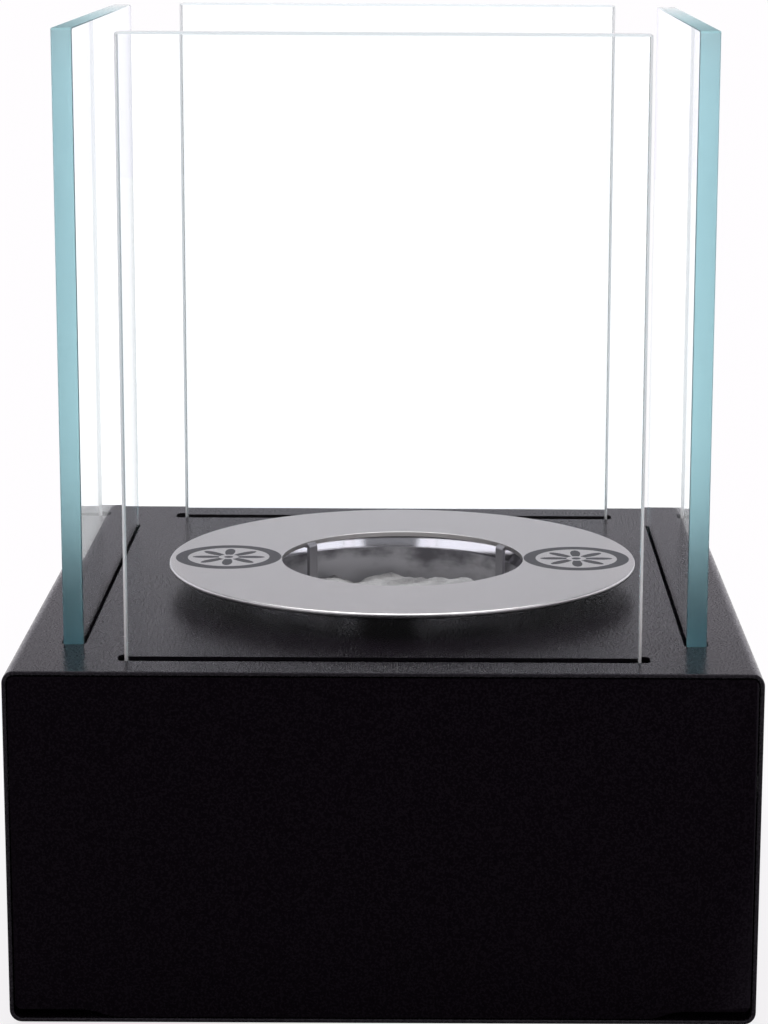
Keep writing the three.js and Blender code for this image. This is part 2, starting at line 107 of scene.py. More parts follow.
class Signal:
    """A number or vector that a shader socket carries, with its arithmetic as operators."""

    def __init__(self, graph: Graph, socket: bpy.types.NodeSocket) -> None:
        """Wraps a socket of a graph."""
        self.graph = graph
        self.socket = socket

    def _math(self, operation: str, *others: Signal | float) -> Signal:
        """One Math node on this value and the others, in that order."""
        return self.graph.math(operation, self, *others)

    def __add__(self, other: Signal | float) -> Signal:
        """This value plus the other."""
        return self._math("ADD", other)

    __radd__ = __add__

    def __sub__(self, other: Signal | float) -> Signal:
        """This value less the other."""
        return self._math("SUBTRACT", other)

    def __rsub__(self, other: float) -> Signal:
        """The other less this value."""
        return self.graph.math("SUBTRACT", other, self)

    def __mul__(self, other: Signal | float) -> Signal:
        """This value times the other."""
        return self._math("MULTIPLY", other)

    __rmul__ = __mul__

    def __abs__(self) -> Signal:
        """The size of this value, without its sign."""
        return self._math("ABSOLUTE")

    def cosine(self) -> Signal:
        """The cosine of this value, in radians."""
        return self._math("COSINE")

    def hypotenuse(self, other: Signal) -> Signal:
        """The length of the diagonal whose sides are this value and the other."""
        return (self * self + other * other)._math("SQRT")

    def angle_from(self, other: Signal) -> Signal:
        """The angle whose tangent is this value over the other."""
        return self._math("ARCTAN2", other)

    def larger(self, other: Signal | float) -> Signal:
        """The larger of this value and the other."""
        return self._math("MAXIMUM", other)

    def smaller(self, other: Signal | float) -> Signal:
        """The smaller of this value and the other."""
        return self._math("MINIMUM", other)

    def swing(self, size: float) -> Signal:
        """Noise from 0 to 1 as a swing about zero, `size` from end to end."""
        return (self - 0.5) * size

    def mixed(self, other: Signal, share: float) -> Signal:
        """This value with a `share` of the other in it."""
        return self * (1 - share) + other * share

    def rise(self, low: float, high: float, start: float = 0.0, end: float = 1.0) -> Signal:
        """A smooth step of this value.

        Args:
            low: the value where the step begins.
            high: the value where it ends. It may be the smaller of the two.
            start: the result up to `low`.
            end: the result past `high`.

        Returns:
            The stepped value.
        """
        settings = {"interpolation_type": "SMOOTHSTEP"}
        values = {"Value": self, "From Min": low, "From Max": high, "To Min": start, "To Max": end}
        return self.graph.add("ShaderNodeMapRange", settings, values).out("Result")

    def past(self, level: float, soft: float) -> Signal:
        """One above `level` and zero below it, with an edge `soft` wide."""
        return self.rise(level - soft / 2, level + soft / 2)

    def short_of(self, level: float, soft: float) -> Signal:
        """One below `level` and zero above it, with an edge `soft` wide."""
        return self.rise(level + soft / 2, level - soft / 2)


class Placed:
    """A node in a graph, whose outputs are read by name."""

    def __init__(self, graph: Graph, node: bpy.types.Node) -> None:
        """Wraps a node of a graph."""
        self.graph = graph
        self.node = node

    def out(self, name: str | int = 0) -> Signal:
        """The output of that name or number."""
        return Signal(self.graph, self.node.outputs[name])


Value = Signal | float | Sequence[float]


class Graph:
    """A node tree of a material or a world."""

    def __init__(self, tree: bpy.types.NodeTree) -> None:
        """Empties the tree and starts afresh."""
        self.tree = tree
        tree.nodes.clear()

    def add(self, kind: str, settings: dict[str, object], values: dict[str | int, Value]) -> Placed:
        """One node.

        Args:
            kind: the node's type.
            settings: the node's own settings, such as a Math node's operation, which are set first.
            values: a link or a constant for each input, by its name or number.

        Returns:
            The node.
        """
        node = self.tree.nodes.new(kind)
        for name, setting in settings.items():
            setattr(node, name, setting)
        for name, value in values.items():
            self.feed(node.inputs[name], value)
        return Placed(self, node)

    def feed(self, socket: bpy.types.NodeSocket, value: Value) -> None:
        """Links a signal to a socket, or sets a constant on it.

        Args:
            socket: the socket.
            value: the signal or the constant. A colour is given without its alpha, which is full.
        """
        if isinstance(value, Signal):
            self.tree.links.new(value.socket, socket)
        elif socket.type == "RGBA":
            socket.default_value = (*value, 1.0)
        else:
            socket.default_value = value

    def math(self, operation: str, *values: Signal | float) -> Signal:
        """One Math node on the values, in that order."""
        return self.add("ShaderNodeMath", {"operation": operation}, dict(enumerate(values))).out()

    def position(self) -> Signal:
        """The position in the frame, in metres."""
        return self.add("ShaderNodeTexCoord", {}, {}).out("Object")

    def coordinates(self) -> Placed:
        """The position in the frame, in metres, split into X, Y and Z."""
        return self.add("ShaderNodeSeparateXYZ", {}, {"Vector": self.position()})

    def noise(self, place: Signal, scale: float, detail: float) -> Signal:
        """Noise from 0 to 1, read at `place` times `scale`, with `detail` finer layers."""
        values = {"Vector": place, "Scale": scale, "Detail": detail, "Roughness": NOISE_ROUGHNESS}
        return self.add("ShaderNodeTexNoise", {"noise_dimensions": "3D"}, values).out()

    def grain(self, size: float, detail: float = 2.0) -> Signal:
        """Noise whose grains are `size` metres wide."""
        return self.noise(self.position(), 1 / size, detail)

    def streaks(self, counts: Sequence[float], detail: float = 2.0) -> Signal:
        """Noise whose grains have a count of their own along each axis, per metre."""
        place = self.add("ShaderNodeMapping", {}, {"Vector": self.position(), "Scale": counts}).out()
        return self.noise(place, 1.0, detail)

    def blend(self, factor: Signal, low: Value, high: Value) -> Signal:
        """A colour between `low` and `high`."""
        return self.add("ShaderNodeMix", {"data_type": "RGBA"}, {0: factor, 6: low, 7: high}).out(2)

    def bump(self, height: Signal, depth: float) -> Signal:
        """A normal from a height between 0 and 1 that stands for `depth` metres."""
        return self.add("ShaderNodeBump", {}, {"Height": height, "Strength": 1.0, "Distance": depth}).out()

    def glow(self, colour: Value, strength: Value) -> Signal:
        """A shader that gives off light."""
        return self.add("ShaderNodeEmission", {}, {"Color": colour, "Strength": strength}).out()

    def mix(self, factor: Signal, first: Signal, second: Signal) -> Signal:
        """The first shader where `factor` is 0, and the second where it is 1."""
        return self.add("ShaderNodeMixShader", {}, {0: factor, 1: first, 2: second}).out()


@dataclass(frozen=True)
class Sight:
    """How a ray that reaches the floor or the surroundings was sent."""

    camera: Signal  # one for a ray straight from the camera
    through: Signal  # one for a ray from the camera that only panes stand in the way of
    gloss: Signal  # one for a reflected ray, also where it went on through a pane

    @classmethod
    def of(cls, graph: Graph) -> Sight:
        """Reads the ray's history.

        Args:
            graph: the graph that needs it.

        Returns:
            The ray's history.
        """
        path = graph.add("ShaderNodeLightPath", {}, {})
        straight = 1 - path.out("Glossy Depth").smaller(1)
        through = path.out("Is Transmission Ray") * straight
        return cls(path.out("Is Camera Ray"), through, path.out("Is Glossy Ray") * (1 - through))


# ---- Finishes ----


class Slot(Enum):
    """The record's material slots."""

    COAT = "black_powder_coat"
    ZINC = "zinc_plated_steel"
    BRUSHED = "brushed_stainless"
    POLISHED = "polished_stainless"
    GLASS = "clear_glass"
    SILICONE = "white_silicone"
    RUBBER = "black_rubber"
    WOOL = "ceramic_wool"


def shade_of(colour: Colour, brightness: float, lift: float = 0.0) -> Colour:
    """A colour made brighter or darker, with `lift` added to each part."""
    return tuple(part * brightness + lift for part in colour)


@dataclass(frozen=True)
class Finish:
    """A finish: one material, made when it is first asked for."""

    name: str

    def material(self) -> bpy.types.Material:
        """The material of this finish.

        Returns:
            The one that is there already, or else a new one.
        """
        known = bpy.data.materials.get(self.name)
        if known is not None:
            return known
        made = bpy.data.materials.new(self.name)
        made.use_nodes = True
        graph = Graph(made.node_tree)
        graph.add("ShaderNodeOutputMaterial", {}, self.whole(graph))
        return made

    def whole(self, graph: Graph) -> dict[str, Signal]:
        """What reaches the material's output, which is one shader unless a finish says otherwise."""
        return {"Surface": graph.add("ShaderNodeBsdfPrincipled", {}, self.surface(graph)).out()}

    def surface(self, graph: Graph) -> dict[str, Value]:
        """The inputs of this finish's shader, by name."""
        raise NotImplementedError


@dataclass(frozen=True)
class PowderCoat(Finish):
    """Black powder coat with a fine leathery texture."""

    colour: Colour = (0.0031, 0.0018, 0.0034)
    speck: Colour = (0.0058, 0.0038, 0.0062)
    gleam: Colour = (0.95, 0.90, 1.0)  # the tint of its reflections
    shine: float = 0.078
    roughness: float = 0.23
    roughness_swings: tuple[float, float] = (0.18, 0.06)  # by its grain and by its clouds
    grain_size: float = 0.5 * MM
    grain_step: Step = Step(0.36, 0.64)
    peel_size: float = 1.6 * MM
    peel_share: float = 0.4
    cloud_size: float = 40 * MM
    depth: float = 0.028 * MM

    def surface(self, graph: Graph) -> dict[str, Value]:
        """The coat's shader.

        Args:
            graph: the material's graph.

        Returns:
            The shader's inputs, by name.
        """
        grain = graph.grain(self.grain_size, detail=1.0).rise(*self.grain_step)
        orange_peel = graph.grain(self.peel_size)
        cloud = graph.grain(self.cloud_size)
        by_grain, by_cloud = self.roughness_swings
        return {
            "Base Color": graph.blend(grain, self.colour, self.speck),
            "Roughness": self.roughness + grain.swing(by_grain) + cloud.swing(by_cloud),
            "Specular IOR Level": self.shine,
            "Specular Tint": self.gleam,
            "Normal": graph.bump(grain.mixed(orange_peel, self.peel_share), self.depth),
        }


@dataclass(frozen=True)
class ClearGlass(Finish):
    """Clear toughened glass. Light and shade from lamps pass through it, so that it casts no dark shadow."""

    colour: Colour = (1.0, 1.0, 1.0)
    roughness: float = 0.0
    ior: float = 1.5
    sheen: Colour = (1.0, 1.0, 1.0)
    clear: float = 1.0  # the share of light that a ground face lets through rather than scatters
    tint: Colour = (0.10, 0.70, 0.77)
    density: float = 6.5  # per metre, so that only a long way through the glass shows the tint

    def surface(self, graph: Graph) -> dict[str, Value]:
        """The inputs of the glass's shader, by name."""
        return {"Base Color": self.colour, "Roughness": self.roughness, "IOR": self.ior,
                "Specular Tint": self.sheen, "Transmission Weight": self.clear}

    def whole(self, graph: Graph) -> dict[str, Signal]:
        """The glass, which is not there for the light of lamps, and the tint in its depth.

        Args:
            graph: the material's graph.

        Returns:
            The surface and the volume.
        """
        glass = super().whole(graph)["Surface"]
        nothing = graph.add("ShaderNodeBsdfTransparent", {}, {}).out()
        path = graph.add("ShaderNodeLightPath", {}, {})
        lamp_light = path.out("Is Shadow Ray").larger(path.out("Is Diffuse Ray"))
        body = {"Color": self.tint, "Density": self.density}
        absorption = graph.add("ShaderNodeVolumeAbsorption", {}, body).out()
        return {"Surface": graph.mix(lamp_light, glass, nothing), "Volume": absorption}


@dataclass(frozen=True)
class TurnedSteel(Finish):
    """Polished stainless steel with faint lines round the vertical axis."""

    colour: Colour = (0.78, 0.77, 0.79)
    smeared: float = 0.92  # the brightness of its dullest places
    roughness: float = 0.13
    roughness_swings: tuple[float, float] = (0.08, 0.05)  # by its lines and by its smears
    line: float = 0.25 * MM
    line_depth: float = 0.004 * MM
    along: float = 20.0  # how often a line changes, per metre
    smear_size: float = 6 * MM

    def surface(self, graph: Graph) -> dict[str, Value]:
        """The steel's shader.

        Args:
            graph: the material's graph.

        Returns:
            The shader's inputs, by name.
        """
        lines = graph.streaks((self.along, self.along, 1 / self.line))
        smear = graph.grain(self.smear_size, detail=3.0)
        by_line, by_smear = self.roughness_swings
        return {
            "Base Color": graph.blend(smear, shade_of(self.colour, self.smeared), self.colour),
            "Metallic": 1.0,
            "Roughness": self.roughness + lines.swing(by_line) + smear.swing(by_smear),
            "Normal": graph.bump(lines, self.line_depth),
        }


@dataclass(frozen=True)
class SootAndShadeSteel(Finish):
    """Satin steel, clouded grey: soot from the flame inside the cup, and painted shade on the ring's
    underside.
    """

    clean: Colour = (0.66, 0.645, 0.67)
    # the dark colour: soot in the cup, painted shade on the ring's underside
    darkened: Colour = (0.17, 0.162, 0.178)
    metal: float = 0.55
    roughness: float = 0.42
    roughness_swing: float = 0.2
    bare: float = 0.0  # the height up to which the film is thin
    sooty: float = 1.0  # and the height past which it is full
    thin: float = 0.22  # how much cleaner a thin film is
    clean_step: Step = Step(0.40, 0.66)
    cloud_size: float = 16 * MM
    cloud_depth: float = 0.05 * MM
    streak_counts: tuple[float, float, float] = (150.0, 150.0, 420.0)
    streak_share: float = 0.25

    def surface(self, graph: Graph) -> dict[str, Value]:
        """The steel's shader.

        Args:
            graph: the material's graph.

        Returns:
            The shader's inputs, by name.
        """
        cloud = graph.grain(self.cloud_size, detail=5.0)
        streak = graph.streaks(self.streak_counts)
        height = graph.coordinates().out("Z")
        thinner = height.rise(self.bare, self.sooty, self.thin, 0.0)
        cleaned = (cloud.mixed(streak, self.streak_share) + thinner).rise(*self.clean_step)
        return {
            "Base Color": graph.blend(cleaned, self.darkened, self.clean),
            "Metallic": self.metal,
            "Roughness": self.roughness + streak.swing(self.roughness_swing),
            "Normal": graph.bump(cloud, self.cloud_depth),
        }


@dataclass(frozen=True)
class EtchedSteel(Finish):
    """Satin stainless steel, brushed one way, with a round etched ornament at each side.

    An ornament is a band with a rosette of petals and a small ring inside it.
    """

    centres: tuple[tuple[float, float], ...] = ()
    colour: Colour = (0.600, 0.573, 0.562)
    contrast: float = 0.06  # how much darker and brighter the brushing makes it
    etch: Colour = (0.042, 0.039, 0.045)
    etch_metal: float = 0.6  # how much less metallic the etched places look
    etch_roughness: float = 0.22
    etch_worn: float = 0.35
    fleck_size: float = 0.35 * MM
    fleck_step: Step = Step(0.72, 0.9)
    roughness: float = 0.30
    roughness_swing: float = 0.10
    depth: float = 0.006 * MM
    brush_along: float = 60.0  # how often a brushed line changes, per metre
    brush_sizes: tuple[float, float] = (0.18 * MM, 0.3 * MM)
    brush_height: float = 0.5  # as a share of the depth
    cloud_size: float = 9 * MM
    cloud_share: float = 0.4
    radius: float = 14.0 * MM
    band: float = 3.2 * MM
    petal: float = 9.6 * MM
    petals: int = 8
    heart: float = 2.6 * MM
    seed: float = 1.2 * MM
    soft: float = 0.25 * MM

    def ornament(self, x: Signal, y: Signal, centre: tuple[float, float]) -> Signal:
        """One ornament.

        Args:
            x: the position along X.
            y: the position along Y.
            centre: the ornament's middle.

        Returns:
            One where the steel is etched round the middle, and zero elsewhere.
        """
        across = x - centre[0]
        along = y - centre[1]
        out = across.hypotenuse(along)
        turned = along.angle_from(across)
        rim = out.past(self.radius - self.band, self.soft) * out.short_of(self.radius, self.soft)
        reach = abs((turned * (self.petals / 2)).cosine()) * self.petal
        petals = (reach - out).past(0.0, self.soft) * out.past(self.heart, self.soft)
        return rim.larger(petals).larger(out.short_of(self.seed, self.soft))

    def surface(self, graph: Graph) -> dict[str, Value]:
        """The steel's shader.

        Args:
            graph: the material's graph.

        Returns:
            The shader's inputs, by name.
        """
        place = graph.coordinates()
        marks = [self.ornament(place.out("X"), place.out("Y"), centre) for centre in self.centres]
        etched = marks[0]
        for mark in marks[1:]:
            etched = etched.larger(mark)
        brushed = graph.streaks((self.brush_along, *(1 / size for size in self.brush_sizes)))
        cloud = graph.grain(self.cloud_size)
        fleck = graph.grain(self.fleck_size, detail=1.0).rise(*self.fleck_step)
        worn = etched * (1 - fleck * self.etch_worn)
        dark, bright = (shade_of(self.colour, level) for level in (1 - self.contrast, 1 + self.contrast))
        plain = graph.blend(brushed.mixed(cloud, self.cloud_share), dark, bright)
        return {
            "Base Color": graph.blend(worn, plain, self.etch),
            "Metallic": 1.0 - worn * self.etch_metal,
            "Roughness": self.roughness + brushed.swing(self.roughness_swing) + etched * self.etch_roughness,
            "Normal": graph.bump(brushed * self.brush_height - etched, self.depth),
        }


@dataclass(frozen=True)
class ZincPlate(Finish):
    """Bright zinc plating, slightly mottled."""

    colour: Colour = (0.50, 0.51, 0.53)
    mottled: float = 0.85  # the brightness of its dullest places
    mottle_size: float = 2.5 * MM
    roughness: float = 0.32
    roughness_swing: float = 0.2
    crystal_size: float = 0.3 * MM
    depth: float = 0.006 * MM

    def surface(self, graph: Graph) -> dict[str, Value]:
        """The plating's shader.

        Args:
            graph: the material's graph.

        Returns:
            The shader's inputs, by name.
        """
        mottle = graph.grain(self.mottle_size, detail=3.0)
        return {
            "Base Color": graph.blend(mottle, shade_of(self.colour, self.mottled), self.colour),
            "Metallic": 1.0,
            "Roughness": self.roughness + mottle.swing(self.roughness_swing),
            "Normal": graph.bump(graph.grain(self.crystal_size), self.depth),
        }


@dataclass(frozen=True)
class FibreWool(Finish):
    """White ceramic fibre wool, matted. Its grey colour and its darker soft patches are painted shade, for
    the shade inside the cup.
    """

    # The colour is grey rather than white, and the patches darker still: painted shade.
    colour: Colour = (0.63, 0.608, 0.614)
    hollow: Colour = (0.17, 0.16, 0.165)
    roughness: float = 0.95
    depth: float = 0.6 * MM
    clump_size: float = 15 * MM
    clump_step: Step = Step(0.36, 0.62, 0.0, 0.52)
    tuft_size: float = 2.4 * MM
    tuft_share: float = 0.2
    fibre_step: Step = Step(0.4, 0.75, 0.0, 0.28)
    fibre_counts: tuple[float, float, float] = (900.0, 5200.0, 2400.0)
    strand_counts: tuple[float, float, float] = (4300.0, 800.0, 2400.0)
    tuft_height: float = 0.5  # as a share of the depth, and so is each of the two sets of fibres
    fibre_height: float = 0.25

    def surface(self, graph: Graph) -> dict[str, Value]:
        """The wool's shader.

        Args:
            graph: the material's graph.

        Returns:
            The shader's inputs, by name.
        """
        clump = graph.grain(self.clump_size, detail=3.0)
        tuft = graph.grain(self.tuft_size, detail=5.0)
        fibre = graph.streaks(self.fibre_counts, detail=4.0)
        strand = graph.streaks(self.strand_counts, detail=4.0)
        matted = fibre.larger(strand).rise(*self.fibre_step)
        # Where the wool keeps its colour; elsewhere the painted shade of its patches.
        unshaded = clump.rise(*self.clump_step) + tuft * self.tuft_share + matted
        return {
            "Base Color": graph.blend(unshaded, self.hollow, self.colour),
            "Roughness": self.roughness,
            "Normal": graph.bump(tuft * self.tuft_height + (fibre + strand) * self.fibre_height, self.depth),
        }


@dataclass(frozen=True)
class Moulded(Finish):
    """Moulded rubber or silicone, with a fine mould texture and a little dust."""

    colour: Colour = (0.02, 0.02, 0.02)
    roughness: float = 0.7
    roughness_swing: float = 0.15
    texture_size: float = 0.25 * MM
    depth: float = 0.02 * MM
    dust_size: float = 3 * MM
    dust_step: Step = Step(0.4, 0.8)
    dust_brightness: float = 1.25
    dust_lift: float = 0.004

    def surface(self, graph: Graph) -> dict[str, Value]:
        """The material's shader.

        Args:
            graph: the material's graph.

        Returns:
            The shader's inputs, by name.
        """
        texture = graph.grain(self.texture_size)
        dust = graph.grain(self.dust_size, detail=3.0).rise(*self.dust_step)
        dusty = shade_of(self.colour, self.dust_brightness, self.dust_lift)
        return {
            "Base Color": graph.blend(dust, self.colour, dusty),
            "Roughness": self.roughness + texture.swing(self.roughness_swing),
            "Normal": graph.bump(texture, self.depth),
        }


COAT = PowderCoat("powder_coat")
# The sleeve's cut ends are painted lighter than the coat: a painted highlight for the light that their
# rounded edges catch.
CUT_EDGE_PAINTED_HIGHLIGHT = PowderCoat("cut_edge_painted_highlight", colour=(0.010, 0.009, 0.011), speck=(0.026, 0.023, 0.028))
GLASS_FACE = ClearGlass("glass_face")
GROUND_EDGE = ClearGlass("ground_glass_edge", roughness=0.62, sheen=(0.0, 0.28, 0.34))
SEAMED_EDGE = ClearGlass("seamed_glass_edge", colour=(1.0, 0.93, 0.94), roughness=0.7, clear=0.5,
                         density=1.0)
CUP_STEEL = TurnedSteel("polished_cup_steel")
# The ring's underside is painted near black: painted shade, so that the plate under the ring mirrors it
# dark.
RING_UNDERSIDE_PAINTED_SHADE = SootAndShadeSteel("ring_underside_painted_shade", clean=(0.09, 0.085, 0.09), darkened=(0.03, 0.028, 0.03))
# The legs are darker than the ring's top.
LEG_STEEL = SootAndShadeSteel("darker_leg_steel", clean=(0.32, 0.31, 0.33), darkened=(0.11, 0.105, 0.113),
                        roughness=0.3)
ZINC = ZincPlate("zinc_plating")
WOOL = FibreWool("fibre_wool")
RUBBER = Moulded("foot_rubber")
SILICONE = Moulded("seat_silicone", colour=(0.72, 0.72, 0.70), roughness=0.45)


# ---- Modelling ----


def span(node: str) -> tuple[Vector, Vector, Vector]:
    """A CAD node's lowest corner, highest corner and middle."""
    low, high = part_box(node)
    return low, high, (low + high) / 2


def object_of(name: str, shape: bmesh.types.BMesh) -> bpy.types.Object:
    """Makes an object of a bmesh, which is freed.

    Args:
        name: the object's name.
        shape: the bmesh.

    Returns:
        The object, linked into the scene.
    """
    mesh = bpy.data.meshes.new(name)
    shape.to_mesh(mesh)
    shape.free()
    made = bpy.data.objects.new(name, mesh)
    bpy.context.scene.collection.objects.link(made)
    return made


def settle(piece: bpy.types.Object) -> None:
    """Applies a piece's modifiers to its mesh.

    Args:
        piece: the piece.
    """
    graph = bpy.context.evaluated_depsgraph_get()
    mesh = bpy.data.meshes.new_from_object(piece.evaluated_get(graph))
    old = piece.data
    piece.modifiers.clear()
    piece.data = mesh
    mesh.name = piece.name
    bpy.data.meshes.remove(old)


def carve(piece: bpy.types.Object, cutters: Iterable[bpy.types.Object]) -> None:
    """Cuts every cutter out of a piece and removes the cutters.

    Args:
        piece: the piece.
        cutters: the cutters.
    """
    spent = list(cutters)
    for cutter in spent:
        knife = piece.modifiers.new("cut", "BOOLEAN")
        knife.operation = "DIFFERENCE"
        knife.solver = "EXACT"
        knife.object = cutter
    settle(piece)
    for cutter in spent:
        bpy.data.meshes.remove(cutter.data)


def give_wall(piece: bpy.types.Object, thickness: float) -> None:
    """Gives a piece that is one open sheet a wall, on the inside.

    Args:
        piece: the piece.
        thickness: how thick the wall is.
    """
    wall = piece.modifiers.new("wall", "SOLIDIFY")
    wall.thickness = thickness
    wall.offset = -1
    wall.use_even_offset = True
    settle(piece)


def smooth_faces(piece: bpy.types.Object) -> None:
    """Shades all faces of a piece smooth."""
    for polygon in piece.data.polygons:
        polygon.use_smooth = True


def shade_smooth(piece: bpy.types.Object, angle: float) -> None:
    """Shades a piece smooth, with edges sharper than `angle` degrees kept sharp."""
    smooth_faces(piece)
    piece.data.set_sharp_from_angle(angle=math.radians(angle))


def weigh_normals(piece: bpy.types.Object) -> None:
    """Shades a piece's large faces flat and the rounded edges between them round.

    Args:
        piece: the piece, with its faces shaded smooth. Its modifiers are applied.
    """
    weights = piece.modifiers.new("weights", "WEIGHTED_NORMAL")
    weights.keep_sharp = True
    settle(piece)


def ease_edges(piece: bpy.types.Object, width: float, segments: int = 2, angle: float = 40.0) -> None:
    """Rounds a piece's sharp edges, and shades its flat faces flat.

    Args:
        piece: the piece.
        width: how wide the rounding is.
        segments: how many segments it has.
        angle: an edge sharper than this many degrees is rounded.
    """
    smooth_faces(piece)
    bevel = piece.modifiers.new("ease", "BEVEL")
    bevel.width = width
    bevel.segments = segments
    bevel.limit_method = "ANGLE"
    bevel.angle_limit = math.radians(angle)
    bevel.harden_normals = False
    weigh_normals(piece)


def dress(piece: bpy.types.Object, finishes: Sequence[Finish], slot: Slot, body: str,
          nodes: Sequence[str] = ()) -> None:
    """Gives a new piece its finishes, its body and the CAD nodes that it stands for.

    Args:
        piece: the piece, in place.
        finishes: its finishes, in the order of its faces' material numbers.
        slot: the record's slot that the piece belongs to. It is not used.
        body: the CAD body that it moves with.
        nodes: the CAD nodes that it replaces.
    """
    for finish in finishes:
        piece.data.materials.append(finish.material())
    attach(piece, body)
    if nodes:
        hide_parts(*nodes)
    log.info("%s: %d faces, on %s", piece.name, len(piece.data.polygons), body)


def dress_node(frame: dict, name: str, finish: Finish) -> None:
    """Gives a carried-over CAD node its finish.

    Args:
        frame: the loaded frame.
        name: the node's name.
        finish: its finish.
    """
    node = frame["nodes"][name]
    node.data.materials.clear()
    node.data.materials.append(finish.material())
    log.info("%s: CAD node kept, with %s", node.name, finish.name)


def move(shape: bmesh.types.BMesh, place: Vector) -> None:
    """Moves the whole shape."""
    bmesh.ops.translate(shape, vec=place, verts=shape.verts[:])


def turn(shape: bmesh.types.BMesh, angle: float, axis: str) -> None:
    """Turns the whole shape about an axis through the origin, by an angle in radians."""
    bmesh.ops.rotate(shape, cent=(0, 0, 0), matrix=Matrix.Rotation(angle, 3, axis), verts=shape.verts[:])


def round_corners(shape: bmesh.types.BMesh, corners: Sequence[bmesh.types.BMVert], width: float,
                  segments: int) -> None:
    """Rounds corners of a flat shape."""
    bmesh.ops.bevel(shape, geom=corners, offset=width, segments=segments, profile=0.5,
                    affect="VERTICES", material=-1)


def round_edges(shape: bmesh.types.BMesh, edges: Sequence[bmesh.types.BMEdge], width: float,
                segments: int) -> None:
    """Rounds edges of a shape. One segment makes a chamfer."""
    bmesh.ops.bevel(shape, geom=edges, offset=width, segments=segments, profile=0.5,
                    affect="EDGES", material=-1)


def edges_along(shape: bmesh.types.BMesh, axis: int, length: float) -> list[bmesh.types.BMEdge]:
    """The edges that run along an axis for more than half of a length."""
    return [edge for edge in shape.edges
            if abs(edge.verts[0].co[axis] - edge.verts[1].co[axis]) > length / 2]


def edges_at(shape: bmesh.types.BMesh, axis: int, level: float) -> list[bmesh.types.BMEdge]:
    """The edges that lie at one level of an axis."""
    return [edge for edge in shape.edges
            if all(abs(vert.co[axis] - level) < TOUCHING for vert in edge.verts)]


def pull(shape: bmesh.types.BMesh, extruded: dict[str, list], along: Vector) -> None:
    """Moves what an extrusion has made, so that it comes off what it was made from."""
    new = [part for part in extruded["geom"] if isinstance(part, bmesh.types.BMVert)]
    bmesh.ops.translate(shape, vec=along, verts=new)


def face_outwards(shape: bmesh.types.BMesh) -> None:
    """Makes all faces of a closed shape point outwards."""
    bmesh.ops.recalc_face_normals(shape, faces=shape.faces[:])


def thicken_face(shape: bmesh.types.BMesh, depth: Vector) -> None:
    """Pulls the only face of a shape along `depth`, so that it becomes a closed block."""
    pull(shape, bmesh.ops.extrude_face_region(shape, geom=shape.faces[:], use_keep_orig=True), depth)
    face_outwards(shape)


def block(size: Sequence[float]) -> bmesh.types.BMesh:
    """A block, centred on the origin.

    Args:
        size: its size along each axis.

    Returns:
        The block.
    """
    shape = bmesh.new()
    bmesh.ops.create_cube(shape, size=1.0)
    bmesh.ops.scale(shape, vec=size, verts=shape.verts[:])
    return shape


def round_plate(radius: float, segments: int) -> bmesh.types.BMesh:
    """A flat round face in the XY plane.

    Args:
        radius: its radius.
        segments: how many sides it has.

    Returns:
        The face, centred on the origin.
    """
    shape = bmesh.new()
    bmesh.ops.create_circle(shape, cap_ends=True, segments=segments, radius=radius)
    return shape


def rounded_plate(width: float, height: float, radius: float, segments: int) -> bmesh.types.BMesh:
    """A flat face in the XY plane with round corners.

    Args:
        width: its size along X.
        height: its size along Y.
        radius: the radius of its corners.
        segments: how many segments a corner has.

    Returns:
        The face, centred on the origin and facing up.
    """
    shape = bmesh.new()
    bmesh.ops.create_grid(shape, x_segments=1, y_segments=1, size=0.5)
    bmesh.ops.scale(shape, vec=(width, height, 1.0), verts=shape.verts[:])
    round_corners(shape, shape.verts[:], radius, segments)
    return shape


class Corner(NamedTuple):
    """A corner of a section: its radius from the axis, its height and how far it is rounded."""

    radius: float
    height: float
    ease: float = 0.0


def revolve(corners: Sequence[Corner], steps: int, ease_segments: int = 4) -> bmesh.types.BMesh:
    """A closed solid of revolution about the Z axis.

    Args:
        corners: the section's corners, in order round it.
        steps: how many steps the full turn has.
        ease_segments: how many segments each rounded corner has.

    Returns:
        The solid, with its faces pointing out.
    """
    shape = bmesh.new()
    points = [shape.verts.new((corner.radius, 0.0, corner.height)) for corner in corners]
    shape.faces.new(points)
    for corner, point in zip(corners, points):
        if corner.ease > 0.0:
            round_corners(shape, [point], corner.ease, ease_segments)
    bmesh.ops.delete(shape, geom=shape.faces[:], context="FACES_ONLY")
    on_axis = [edge for edge in shape.edges if all(vert.co.x < TOUCHING for vert in edge.verts)]
    bmesh.ops.delete(shape, geom=on_axis, context="EDGES")
    bmesh.ops.spin(shape, geom=shape.verts[:] + shape.edges[:], cent=(0, 0, 0), axis=(0, 0, 1),
                   angle=math.tau, steps=steps, use_merge=True)
    bmesh.ops.remove_doubles(shape, verts=shape.verts[:], dist=TOUCHING)
    face_outwards(shape)
    return shape


@dataclass(frozen=True)
class Lumps:
    """Lumps on a surface that is seen from above."""

    width: float
    level: float  # the height at which the noise is read, so that no two sets are alike
    smoothness: float
    finer: float  # how much finer each layer is than the last
    layers: int

    def at(self, place: Vector) -> float:
        """How far the lumps rise or sink at a place, roughly between -1 and 1."""
        read = Vector((place.x, place.y, self.level)) / self.width
        return noise.fractal(read, self.smoothness, self.finer, self.layers)


# ---- Housing ----


